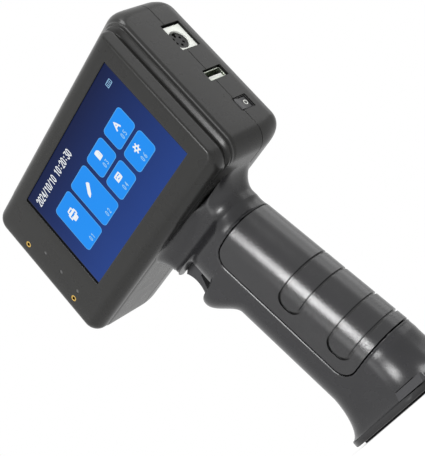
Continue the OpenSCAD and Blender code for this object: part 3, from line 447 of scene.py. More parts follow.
@dataclass
class Surface:
    """A mesh from a grid of points, whose rows may be closed rings."""

    name: str
    points: Grid
    closed: bool = False

    def quads(self) -> Grid:
        """Numbers the corners of each cell of the grid.

        Returns:
            One row of four vertex numbers for each face.
        """
        m, n = self.points.shape[:2]
        i, j = np.meshgrid(np.arange(m - 1), np.arange(n if self.closed else n - 1), indexing="ij")
        a, b = i * n + j, i * n + (j + 1) % n
        return np.stack([a, a + n, b + n, b], -1).reshape(-1, 4)

    def build(self) -> bpy.types.Object:
        """Makes the object at the origin, smooth shaded with sharp edges kept."""
        return mesh_object(self.name, [(self.points.reshape(-1, 3), self.quads())])


def mesh_object(
    name: str, parts: list[tuple[Grid, Grid | list[Grid]]], sharp: float = 40.0
) -> bpy.types.Object:
    """Joins several patches of points and faces into one object.

    Args:
        name: The object's name.
        parts: Points (n, 3) and faces (k, 3 or 4) of each patch, or a list of its faces by size.
        sharp: The angle in degrees past which an edge stays sharp.

    Returns:
        The object, at the origin, unturned and unscaled.
    """
    points = np.concatenate([p for p, _ in parts])
    starts = np.cumsum([0] + [len(p) for p, _ in parts[:-1]])
    faces = [
        f + s for (_, rows), s in zip(parts, starts) for f in (rows if isinstance(rows, list) else [rows])]
    sizes = np.concatenate([np.full(len(f), f.shape[1]) for f in faces]).astype(np.int32)
    corners = np.concatenate([f.ravel() for f in faces]).astype(np.int32)
    mesh = bpy.data.meshes.new(name)
    mesh.vertices.add(len(points))
    mesh.vertices.foreach_set("co", points.astype(np.float32).ravel())
    mesh.loops.add(len(corners))
    mesh.loops.foreach_set("vertex_index", corners)
    mesh.polygons.add(len(sizes))
    mesh.polygons.foreach_set("loop_start", (np.cumsum(sizes) - sizes).astype(np.int32))
    mesh.update(calc_edges=True)
    mesh.validate()
    mesh.shade_smooth()
    mesh.set_sharp_from_angle(angle=math.radians(sharp))
    obj = bpy.data.objects.new(name, mesh)
    bpy.context.scene.collection.objects.link(obj)
    return obj


def place(obj: bpy.types.Object, finish: Finish, slot: str, body: Body = Body.PRINTER) -> bpy.types.Object:
    """Dresses a new piece and sets what it rides on.

    Args:
        obj: The piece.
        finish: Its material.
        slot: The name of a record's material slot; not used.
        body: The body that it rides on.

    Returns:
        The same piece.
    """
    obj.data.materials.clear()
    obj.data.materials.append(finish.material())
    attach(obj, body.value)
    LOG.info("placed %s in %s", obj.name, finish.name)
    return obj


def rounded_rings(sides: Grid, radii: Grid, across: Grid, along: Grid, arc: int = 14) -> Grid:
    """Makes rings of rounded rectangles, one for each station.

    A ring runs anticlockwise from the foot of its right side. A straight side is cut at the given
    shares of its length, and a corner is a quarter circle about a centre one radius in from both sides.

    Args:
        sides: Left, right, low and high of each station (s, 4).
        radii: Radius of the left corners and of the right corners (s, 2), or with the upper right
            corner's after them (s, 3).
        across: Shares from left to right, between 0 and 1, at which the low and high sides are cut.
            They are the same for all stations (k), or have a row for each (s, k).
        along: Shares at which the left and right sides are cut.
        arc: Points on each corner.

    Returns:
        Points (s, around, 2).
    """
    left, right, low, high = sides.T[..., None]
    rl, rr, rt = np.maximum(radii, 0.01 * MM)[:, [0, 1, -1]].T[..., None]
    turn = np.linspace(0.0, np.pi / 2, arc)

    def corner(cx: Grid, cy: Grid, r: Grid, start: float) -> Grid:
        """Gives a quarter circle about (cx, cy) from the start angle."""
        return np.stack([cx + r * np.cos(turn + start), cy + r * np.sin(turn + start)], -1)

    def straight(a: Grid, b: Grid, shares: Grid) -> Grid:
        """Gives the points between two corners' ends."""
        return a[:, -1:] + (b[:, :1] - a[:, -1:]) * np.atleast_2d(shares)[..., None]

    c0 = corner(right - rt, high - rt, rt, 0.0)
    c1 = corner(left + rl, high - rl, rl, np.pi / 2)
    c2 = corner(left + rl, low + rl, rl, np.pi)
    c3 = corner(right - rr, low + rr, rr, 1.5 * np.pi)
    back = 1 - np.atleast_2d(across)[:, ::-1]
    return np.concatenate(
        [straight(c3, c0, along), c0, straight(c0, c1, back), c1,
         straight(c1, c2, along), c2, straight(c2, c3, across), c3], 1)


def closed_patch(points: Grid) -> tuple[Grid, list[Grid]]:
    """Closes a tube of rings with a point in the middle of each end, and turns its faces outwards.

    The volume inside is a sixth of the sum of a . (b x c) over the faces' triangles; where it
    comes out negative, every face is turned round.

    Args:
        points: Rings of points (s, around, 3).

    Returns:
        Points (n, 3), and arrays of quads and of triangles.
    """
    s, n = points.shape[:2]
    j = np.arange(n)
    first, last = np.full(n, s * n), np.full(n, s * n + 1)
    faces = [
        Surface("", points, closed=True).quads(),
        np.stack([first, (j + 1) % n, j], -1),
        np.stack([last, (s - 1) * n + j, (s - 1) * n + (j + 1) % n], -1),
    ]
    flat = np.concatenate([points.reshape(-1, 3), points[:1].mean(1), points[-1:].mean(1)])
    fans = np.concatenate([rows[:, [0, k, k + 1]] for rows in faces for k in range(1, rows.shape[1] - 1)])
    a, b, c = (flat[fans[:, k]] for k in range(3))
    if np.sum(a * np.cross(b, c)) < 0:
        faces = [rows[:, ::-1] for rows in faces]
    return flat, faces


def prism(outline: Grid, axis: int, start: float, end: float) -> tuple[Grid, list[Grid]]:
    """Carries a flat outline straight along an axis and closes both ends.

    Args:
        outline: Points (n, 2) in the plane of the two other axes, in their order.
        axis: 0, 1 or 2.
        start: Where it starts on the axis.
        end: Where it ends.

    Returns:
        A closed patch of points and faces.
    """
    levels = np.linspace(start, end, 2)[:, None] * np.ones(len(outline))
    return closed_patch(np.insert(np.broadcast_to(outline, (2,) + outline.shape), axis, levels, axis=-1))


def disc(middle: tuple[float, float], radius: float, count: int = 48) -> Grid:
    """Gives a circle's points (n, 2)."""
    t = np.arange(count) / count * 2 * np.pi
    return np.stack([middle[0] + radius * np.cos(t), middle[1] + radius * np.sin(t)], -1)


def rounded_box(low: tuple[float, float], high: tuple[float, float], radius: float) -> Grid:
    """Gives a rounded rectangle's points (n, 2) between two corners."""
    none = np.zeros(0)
    sides = np.array([[low[0], high[0], low[1], high[1]]])
    return rounded_rings(sides, np.array([[radius, radius]]), none, none, 7)[0]


def ease(share: Grid) -> Grid:
    """Turns a rising share, held between 0 and 1, into a smooth step."""
    held = np.clip(share, 0, 1)
    return held**2 * (3 - 2 * held)


def raised(rings: Grid, z: Grid) -> Grid:
    """Puts each flat ring (s, around, 2) at its height."""
    return np.concatenate([rings, np.broadcast_to(z[:, None, None], rings.shape[:2] + (1,))], -1)


def arch(past: Grid) -> Grid:
    """Gives how far a quarter circle has left its tangent, from 0 at the start to 1 at the end."""
    return 1 - np.sqrt(np.maximum(1 - past**2, 0.0))


def cut(piece: bpy.types.Object, cutters: list[tuple[Grid, list[Grid]]], sharp: float) -> None:
    """Takes closed patches away from a closed piece, and keeps the result as its mesh.

    Args:
        piece: The closed piece.
        cutters: Closed patches.
        sharp: The angle past which edges are sharp.
    """
    tool = mesh_object(piece.name + "_cutter", cutters)
    change = piece.modifiers.new("cuts", "BOOLEAN")
    change.operation = "DIFFERENCE"
    change.object = tool
    change.solver = "EXACT"
    change.use_self = True
    bpy.context.view_layer.update()
    graph = bpy.context.evaluated_depsgraph_get()
    made = bpy.data.meshes.new_from_object(piece.evaluated_get(graph))
    piece.modifiers.clear()
    piece.data = made
    made.name = piece.name
    made.shade_smooth()
    made.set_sharp_from_angle(angle=math.radians(sharp))
    bpy.data.objects.remove(tool)


@dataclass
class HousingSkin:
    """The case above the grip: one surface from the screen's window round to its back.

    It takes its outline from the boxes of the bezel and of the far shell. The pairs are in
    millimetres: window_rim holds depth behind the face and how much wider the opening is; dip holds
    depth past the bezel's back and the share of the valley; ridges holds depth past the bezel's back
    and how far the side stands out; seam_half holds half the hair line's width at its top and at
    its bottom; sockets holds a node, the gap round it, the gap above it and the corner radius;
    posts holds each screw's x and z, and windows each lens's z. low_back is a run and a height.
    """

    face_fillet: float = 6.5 * MM
    side_fillet: float = 1.0 * MM
    bezel_corner: float = 8.5 * MM
    top_corner: float = 3.5 * MM
    nose_corner: float = 7.0 * MM
    rear_corner: float = 8.5 * MM
    shell_corner: float = 10.0 * MM
    top_back: float = 13.0 * MM
    low_back: tuple[float, float] = (22.0 * MM, 10.0 * MM)
    window: tuple[float, float] = (108.6 * MM, 61.4 * MM)
    window_corner: float = 0.5 * MM
    window_rim: tuple[tuple[float, float], ...] = (
        (1.2, 0.0), (0.35, 0.0), (0.15, 0.06), (0.03, 0.2), (0.0, 0.4))
    shoulder_run: float = 12.0 * MM
    shoulder_bend: float = 1.7 * MM
    shoulder_rise: float = 2.3 * MM
    valley: float = 1.05 * MM
    faint: float = 0.25
    dip: tuple[tuple[float, float], ...] = (
        (-1.6, 0.0), (-1.3, 0.06), (-1.0, 0.24), (-0.8, 0.6), (-0.6, 0.96), (-0.3, 1.0), (-0.1, 0.97),
        (0.2, 0.7), (0.7, 0.38), (1.2, 0.16), (1.8, 0.03), (2.3, 0.0))
    seam_at: float = 9.0 * MM
    seam_deep: float = 0.3 * MM
    seam_half: tuple[float, float] = (0.22, 0.1)
    ridges: tuple[tuple[float, float], ...] = (
        (-1.6, 0.0), (1.9, -0.8), (3.7, 1.9), (4.75, 1.15), (5.6, 1.95), (7.0, 1.6), (8.9, 2.0))
    sockets: tuple[tuple[str, float, float, float], ...] = (
        ("din_housing", 0.3, 1.1, 0.4), ("usb_shell", 0.6, 0.6, 0.5), ("rocker_frame", 0.15, 0.15, 0.5))
    socket_deep: float = 14.0 * MM
    nose_gap: float = 0.35 * MM
    nose_radius: float = 4.3 * MM
    nose_deep: float = 64.0 * MM
    posts: tuple[tuple[float, float], ...] = ((-98.0, 144.0), (-87.5, 219.0), (31.0, 144.0), (31.0, 219.0))
    post_deep: float = 5.5 * MM
    insert_deep: float = 5.2 * MM
    windows: tuple[float, ...] = (158.5, 172.5, 186.5)
    window_deep: float = 2.8 * MM
    sharp: float = 35.0

    def waves(self, y: Grid) -> Grid:
        """Gives how far the socket side stands past the bezel's at each depth.

        The line runs through the turning points of the two ridges, with half a cosine wave
        between neighbours.

        Args:
            y: Depths (s).

        Returns:
            How far the side stands out at each depth (s).
        """
        at, value = np.array(self.ridges).T * MM
        share = np.clip((y[:, None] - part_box("screen_bezel")[1].y - at[:-1]) / np.diff(at), 0.0, 1.0)
        return value[0] + (np.diff(value) * (1 - np.cos(np.pi * share)) / 2).sum(1)

    def profile(self) -> tuple[Grid, Grid, Grid]:
        """Works out the stations from the window to the back.

        The face's fillet and the back's are quarter circles, the underside's back edge is a quarter
        ellipse, the bezel's back edge dips into a valley, and the top follows a sloping shoulder
        whose upper bend is a soft minimum of the slope and the flat top.

        Returns:
            Depths y (s), sides (s, 4) and corner radii (s, 3).
        """
        b_low, b_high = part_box("screen_bezel")
        h_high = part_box("far_shell")[1]
        quarter = np.linspace(0.0, np.pi / 2, 12)
        face, back = b_low.y, h_high.y
        near = np.array([0.1, 0.22, 0.38, 0.6, 1.2])
        seam = np.concatenate([-near[::-1], near]) * MM
        dip_at, dip_share = np.array(self.dip).T * [[MM], [1.0]]
        y = np.sort(np.concatenate([
            face + self.face_fillet * (1 - np.cos(quarter)),
            face + self.side_fillet * (1 - np.cos(quarter[1::2])),
            b_high.y + dip_at,
            b_high.y + np.arange(-2.8, 11.0, 0.3) * MM,
            np.arange(-9.0, 16.0, 1.25) * MM,
            self.seam_at + seam,
            back - self.top_back * (1 - np.sin(np.linspace(0.0, np.pi / 2, 20))),
        ]))
        y = y[np.append(True, np.diff(y) > 0.06 * MM)]
        y[-1] = back
        share = np.sin(np.clip((y - b_high.y) / self.shoulder_rise, 0.0, 1.0) * np.pi / 2)
        groove = np.interp(y, b_high.y + dip_at, dip_share) * self.valley
        wide, narrow = self.seam_half
        line = np.array([-wide, -narrow, narrow, wide]) * MM
        hair = np.interp(y - self.seam_at, line, [0.0, 1.0, 1.0, 0.0]) * self.seam_deep

        def rise(radius: float) -> Grid:
            """Gives how far a face fillet of that radius still lies inside at each depth."""
            ahead = np.clip(face + radius - y, 0.0, radius)
            return radius - np.sqrt(np.maximum(radius**2 - ahead**2, 0.0))

        def fall(run: float, height: float) -> Grid:
            """Gives how far a back edge of that run and height has drawn in at each depth."""
            past = np.clip(y - (back - run), 0.0, run) / run
            return height * arch(past)

        slope = b_high.z + (h_high.z - b_high.z) * (y - b_high.y) / self.shoulder_run
        level = -self.shoulder_bend * np.logaddexp(-(slope - h_high.z) / self.shoulder_bend, 0.0) + h_high.z
        top = b_high.z + share * (level - b_high.z)
        soft, tuck = rise(self.face_fillet), fall(self.nose_corner, self.nose_corner)
        low_soft = soft + self.faint * groove + hair
        left = b_low.x + low_soft + tuck
        edge = rise(self.side_fillet) + hair + fall(self.rear_corner, self.rear_corner)
        right = b_high.x + self.waves(y) - edge
        low = b_low.z + low_soft + fall(*self.low_back)
        high = top - soft - groove - hair - fall(self.top_back, self.top_back)
        drawn = soft + fall(self.shell_corner, self.shell_corner)
        r_left = self.bezel_corner + share * (self.nose_corner - self.bezel_corner) - soft - tuck
        r_low = self.bezel_corner + share * (self.shell_corner - self.bezel_corner) - drawn
        r_top = self.top_corner + share * (self.shell_corner - self.top_corner) - drawn
        radii = np.maximum(np.stack([r_left, r_low, r_top], -1), 0.6 * MM)
        return y, np.stack([left, right, low, high], -1), radii

    def build(self) -> bpy.types.Object:
        """Builds the skin, cuts its openings and lets it stand for the bezel and the shells.

        Returns:
            The finished piece.
        """
        y, sides, radii = self.profile()
        across, along = np.linspace(0, 1, 26)[1:-1], np.linspace(0, 1, 18)[1:-1]
        rings = rounded_rings(sides, radii, across, along)
        glass_low, glass_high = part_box("display_glass")
        cx, cz = (glass_low.x + glass_high.x) / 2, (glass_low.z + glass_high.z) / 2
        behind, wider = np.array(self.window_rim).T * MM
        half_x, half_z = self.window[0] / 2 + wider, self.window[1] / 2 + wider
        frame = np.stack([cx - half_x, cx + half_x, cz - half_z, cz + half_z], -1)
        inner = rounded_rings(frame, np.full((len(frame), 2), self.window_corner), across, along)
        share = np.linspace(0, 1, 6)[1:-1, None, None]
        spread = inner[-1:] + (rings[:1] - inner[-1:]) * share
        flat = np.concatenate([inner, spread, rings])
        middle = flat[-1:].mean(1, keepdims=True)
        close = middle + (flat[-1:] - middle) * np.linspace(1, 0.1, 5)[1:, None, None]
        flat = np.concatenate([flat, close])
        depth = np.concatenate([y[0] + behind, np.full(len(share), y[0]), y, np.full(len(close), y[-1])])
        points = np.stack([flat[..., 0], np.broadcast_to(depth[:, None], flat.shape[:2]), flat[..., 1]], -1)
        skin = mesh_object("housing_skin", [closed_patch(points)], self.sharp)
        cut(skin, self.openings(), self.sharp)
        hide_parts("screen_bezel", "near_shell", "far_shell")
        return place(skin, CASE, "case_plastic")

    def openings(self) -> list[tuple[Grid, list[Grid]]]:
        """Lists what is cut from the skin: sockets, nose, screw wells, insert bores and lenses.

        Returns:
            Closed patches.
        """
        low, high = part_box("far_shell")
        tools = []
        for node, gap, above, radius in self.sockets:
            a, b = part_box(node)
            corners = (a.y - gap * MM, a.z - gap * MM), (b.y + gap * MM, b.z + above * MM)
            tools.append(prism(rounded_box(*corners, radius * MM), 0, high.x - self.socket_deep, high.x + MM))
        a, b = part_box("nose_plate")
        corners = (a.y - self.nose_gap, a.z - self.nose_gap), (b.y + self.nose_gap, b.z + self.nose_gap)
        tools.append(prism(rounded_box(*corners, self.nose_radius), 0, low.x + self.nose_deep, low.x - MM))
        for x, z in self.posts:
            tools.append(prism(disc((x * MM, z * MM), WELL_RADIUS), 1, high.y - self.post_deep, high.y + MM))
        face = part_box("screen_bezel")[0].y
        a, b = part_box("brass_inserts")
        radius = (b.x - a.x) / 2
        for z in (a.z + radius, b.z - radius):
            round_hole = disc(((a.x + b.x) / 2, z), radius + 0.02 * MM)
            tools.append(prism(round_hole, 1, face - MM, face + self.insert_deep))
        a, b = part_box("status_windows")
        for z in self.windows:
            round_hole = disc(((a.x + b.x) / 2, z * MM), (b.x - a.x) / 2 + 0.05 * MM, 32)
            tools.append(prism(round_hole, 1, face - MM, face + self.window_deep))
        return tools


@dataclass
class GripSkin:
    """The neck, the grip and the foot: rings from the foot's rim up into the housing's underside.

    edge_columns holds distances from the strap's front edge and wells each screw's x and z, both
    in millimetres. arc is the number of points on a corner, and sharp the angle in degrees past
    which edges are sharp.
    """

    toe: float = 35.0 * MM
    foot_half: float = 22.0 * MM
    foot_radius: float = 18.0 * MM
    rim_top: float = 4.5 * MM
    flare_top: float = 25.0 * MM
    ledge_gap: float = 0.3 * MM
    ledge_radius: float = 15.5 * MM
    half_depth: float = 28.0 * MM
    half_width: float = 18.0 * MM
    radius: float = 16.0 * MM
    front_lean: float = 7.0
    back_lean: float = 10.0
    lean_at: float = 3.2 * MM
    lug_from: float = 86.0 * MM
    lug_run: float = 17.0 * MM
    lug_top: float = 106.0 * MM
    lug_round: float = 2.6 * MM
    lug_x: float = -51.0 * MM
    notch_top: float = 124.0 * MM
    notch_round: float = 2.0 * MM
    notch_x: float = -38.5 * MM
    notch_reach: float = 14.0 * MM
    waist: tuple[float, float] = (118.6 * MM, 127.0 * MM)
    neck_front: float = -52.4 * MM
    neck_lean: float = 4.2 * MM
    neck_back: float = 10.6 * MM
    neck_half: float = 15.0 * MM
    neck_edge: float = 2.2 * MM
    under: float = 136.0 * MM
    fillet: float = 9.5 * MM
    fillet_side: float = 9.0 * MM
    fillet_back: float = 10.5 * MM
    fillet_radius: float = 11.0 * MM
    fillet_taper: float = 0.46
    taper_from: float = -32.5 * MM
    taper_run: float = 40.5 * MM
    strap_low: float = 27.5 * MM
    strap_high: float = 114.5 * MM
    strap_edge: float = 5.0 * MM
    strap_corner: float = 8.0 * MM
    strap_deep: float = 2.45 * MM
    groove: float = 0.40 * MM
    groove_side: float = 0.35 * MM
    lip: float = 0.28 * MM
    lip_out: float = 0.55 * MM
    lip_half: float = 0.3 * MM
    edge_columns: tuple[float, ...] = (-1.5, -1.15, -0.95, -0.75, -0.55, -0.4, -0.2, -0.05, 0.3)
    wells: tuple[tuple[float, float], ...] = ((-44.0, 132.5), (-38.0, 100.0))
    well_from: float = 10.4 * MM
    slot_half: float = 5.6 * MM
    slot_reach: float = 11.0 * MM
    slot_corner: float = 0.6 * MM
    pivot_radius: float = 4.6 * MM
    latch_gap: float = 0.3 * MM
    latch_corner: float = 0.5 * MM
    latch_from: float = -15.5 * MM
    clear_side: float = 40.0 * MM
    clear_front: float = -70.0 * MM
    arc: int = 30
    sharp: float = 38.0

    def front(self, z: Grid) -> Grid:
        """Gives the leaning front face at each height."""
        return self.lean_at - z * math.tan(math.radians(self.front_lean)) - self.half_depth

    def back(self, z: Grid) -> Grid:
        """Gives the leaning back face at each height."""
        return self.lean_at - z * math.tan(math.radians(self.back_lean)) + self.half_depth

    def fronts(self, below: Grid) -> tuple[Grid, Grid]:
        """Works out the front face, stretch by stretch.

        The lug swells out of the leaning face with a smooth step and ends in a quarter round. The
        notch behind the trigger follows, with a hollow at either end, and above it the neck leans
        forward along a power curve.

        Args:
            below: Heights of the rings up to the lug's quarter round.

        Returns:
            The heights of all the rings (s), and the front face at each (s).
        """
        share = np.linspace(0, 1, 7)
        turn = share * np.pi / 2

        def swollen(z: Grid) -> Grid:
            """Gives the leaning front face with the lug's smooth step."""
            leaning = self.front(z)
            return leaning + (self.lug_x - leaning) * ease((z - self.lug_from) / self.lug_run)

        over = self.lug_top - self.lug_round * (1 - np.sin(turn))
        hollow, ledge = self.notch_round, self.lug_x + self.lug_round
        notch = np.linspace(self.lug_top + hollow + MM, self.notch_top - hollow - MM, 26)
        top = self.under - self.fillet + self.fillet * np.sin(np.linspace(0.12, np.pi / 2, 14))
        top = np.append(top, self.under + 1.5 * MM)
        rise = np.clip((top - self.notch_top) / (self.under - self.notch_top), 0, 1.05)
        neck, neck_in = np.array([(0.0, 1.8), (0.3, 1.0), (0.9, 0.4), (1.8, 0.1), (3.0, 0.0)]).T * MM
        stretches = (
            (below, swollen(below)),
            (over, swollen(over) + self.lug_round * (1 - np.cos(turn))),
            (self.lug_top + hollow * (1 - np.cos(turn)),
             ledge + (self.notch_x - hollow - ledge) * share + hollow * np.sin(turn)),
            (notch, np.full(len(notch), self.notch_x)),
            (self.notch_top - hollow * np.cos(turn),
             self.notch_x - self.notch_reach * arch(share) * share**2),
            (self.notch_top + neck, self.neck_front + neck_in),
            (top, self.neck_front - self.neck_lean * rise**1.6),
        )
        z, front = (np.concatenate(part) for part in zip(*stretches))
        return z, front

    def stations(self) -> tuple[Grid, Grid, Grid, Grid]:
        """Works out each ring's height, sides, radii and taper.

        The foot's flare is a hollow quarter round, the waist narrows with a smooth step, and the
        neck widens to the underside along another quarter round.

        Returns:
            Heights (s), sides (s, 4), radii (s, 2), and how much the back end narrows (s).
        """
        turn = np.linspace(np.pi / 2, 0.0, 16)
        foot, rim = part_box("foot_plate")[0].z, self.rim_top
        rim_z = np.array([foot, foot + 0.15 * MM, foot + 0.5 * MM, rim - 0.4 * MM, rim - 0.1 * MM])
        rim_in = np.array([0.45, 0.15, 0.0, 0.0, 0.2]) * MM
        flare = rim + (self.flare_top - rim) * (1 - np.sin(turn))
        spans = (25.5, 42.0, 0.4), (42.0, 86.0, 1.5), (86.0, 103.0, 0.7)
        body = [np.arange(*span) * MM for span in spans]
        z, front = self.fronts(np.concatenate([rim_z, flare, *body]))
        slim = ease((z - self.waist[0]) / (self.waist[1] - self.waist[0]))
        grow = arch(np.clip((z - (self.under - self.fillet)) / self.fillet, 0, 1))
        back = self.back(z)
        back = back + (self.neck_back - back) * np.minimum(1, slim * 1.6) + self.fillet_back * grow
        half = self.half_width + (self.neck_half - self.half_width) * slim + self.fillet_side * grow
        radius = self.radius + (self.neck_half - self.neck_edge - self.radius) * slim
        r_left = np.minimum(radius + self.fillet_radius * grow, half - 0.4 * MM)
        r_right = np.minimum(radius, half - 0.4 * MM)
        above = np.zeros(len(z) - len(rim_z) - len(turn))
        spread = np.concatenate([np.ones(len(rim_z)), 1 - np.cos(turn), above])

        def flared(upper: Grid, start: float, end: float) -> Grid:
            """Gives a measure that runs from start at the flare's top to end at the rim."""
            return np.where(spread > 0, start + (end - start) * spread, upper)

        front = flared(front, self.front(self.flare_top), -self.toe)
        back = flared(back, self.back(self.flare_top), self.toe)
        half = flared(half, self.half_width, self.foot_half)
        radii = np.stack([flared(r, self.radius, self.foot_radius) for r in (r_left, r_right)], -1)
        pull = np.append(rim_in, np.zeros(len(z) - len(rim_in)))
        sides = np.stack([front + pull, back - pull, -half + pull, half - pull], -1)
        return z, sides, radii, self.fillet_taper * grow

    def columns(self, z: Grid, sides: Grid, radii: Grid) -> Grid:
        """Places the columns of points on the grip's flat sides, close together at the strap's edge.

        Where the strap's front edge crosses a ring, its share of the flat side is (edge - start)
        / length. The columns on each side of it are spread evenly up to the flat side's ends.

        Args:
            z: Heights (s).
            sides: Left, right, low and high of each ring (s, 4).
            radii: Corner radii (s, 2).

        Returns:
            Shares (s, k), rising.
        """
        start, end = sides[:, 0] + radii[:, 0], sides[:, 1] - radii[:, 1]
        lean = math.radians(self.front_lean)
        edge = self.lean_at - self.strap_edge / math.cos(lean) - z * math.tan(lean)
        close = np.array(self.edge_columns) * MM
        share = np.clip((edge[:, None] + close - start[:, None]) / (end - start)[:, None], 0.03, 0.97)
        before = share[:, :1] * np.linspace(0, 1, 14)[1:-1]
        after = share[:, -1:] + (1 - share[:, -1:]) * np.linspace(0, 1, 26)[1:-1]
        return np.sort(np.concatenate([before, share, after], 1), 1)

    def strap_depth(self, points: Grid) -> Grid:
        """Tells how far a point sinks for the back strap cover.

        The cover's outline is a rounded rectangle on the leaning grip. The signed distance to it
        is turned into a narrow smooth step, with a bell curve outside it for the lip.

        Args:
            points: Points (..., 3).

        Returns:
            Depths, 0 outside, the strap's seat inside, and below 0 on the raised lip round it.
        """
        lean = math.radians(self.front_lean)
        x, z = points[..., 0] - self.lean_at, points[..., 2]
        along = x * math.cos(lean) + z * math.sin(lean)
        up = -x * math.sin(lean) + z * math.cos(lean)
        r = self.strap_corner
        dx = (-self.strap_edge + r) - along
        middle, half = (self.strap_low + self.strap_high) / 2, (self.strap_high - self.strap_low) / 2
        dz = np.abs(up - middle) - half + r
        outside = np.hypot(np.maximum(dx, 0), np.maximum(dz, 0)) + np.minimum(np.maximum(dx, dz), 0) - r
        lip = np.exp(-(((outside - self.groove - self.lip_out) / self.lip_half) ** 2))
        return self.strap_deep * ease((self.groove - outside) / self.groove_side) - self.lip * lip

    def build(self) -> bpy.types.Object:
        """Builds the skin, cuts the trigger's slot, the latch's pocket and the screw wells.

        Returns:
            The finished piece.
        """
        z, sides, radii, taper = self.stations()
        across, along = self.columns(z, sides, radii), np.linspace(0, 1, 9)[1:-1]
        outer = rounded_rings(sides, radii, across, along, self.arc)
        deep = self.strap_deep
        inward = np.array([deep, -deep, deep, -deep])
        inner = rounded_rings(sides + inward, radii - deep, across, along, self.arc)
        behind = np.clip((outer[..., 0] - self.taper_from) / self.taper_run, 0, 1)
        outer[..., 1] *= 1 - taper[:, None] * behind
        points = raised(outer, z)
        sink = self.strap_depth(points)[..., None] / deep
        points = points * (1 - sink) + raised(inner, z) * sink
        low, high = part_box("foot_plate")
        gap = self.ledge_gap
        ledge_sides = np.repeat([[low.x - gap, high.x + gap, low.y - gap, high.y + gap]], 2, 0)
        ledge_radii = np.full((2, 2), self.ledge_radius)
        ledge = rounded_rings(ledge_sides, ledge_radii, across[:1], along, self.arc)
        under = raised(ledge, np.array([high.z + 0.05 * MM, low.z]))
        skin = mesh_object("grip_skin", [closed_patch(np.concatenate([under, points]))], self.sharp)
        cut(skin, self.openings(), self.sharp)
        return place(skin, GRIP, "case_plastic")

    def openings(self) -> list[tuple[Grid, list[Grid]]]:
        """Lists the trigger's slot, the latch's pocket and the two screw wells.

        Returns:
            Closed patches.
        """
        low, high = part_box("trigger_pin")
        x, z = (low.x + high.x) / 2, (low.z + high.z) / 2
        half, reach = self.slot_half, self.slot_reach
        slot = rounded_box((self.clear_front, -half), (x + reach, half), self.slot_corner)
        low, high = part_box("latch_button")
        gap = self.latch_gap
        pocket = rounded_box((low.x - gap, low.z - gap), (high.x + gap, high.z + gap), self.latch_corner)
        wells = [disc((x * MM, z * MM), WELL_RADIUS) for x, z in self.wells]
        return [
            *(prism(well, 1, self.well_from, self.clear_side) for well in wells),
            prism(slot, 2, z - reach, z),
            prism(disc((x, z), self.pivot_radius), 1, -half, half),
            prism(pocket, 1, self.latch_from, -self.clear_side),
        ]


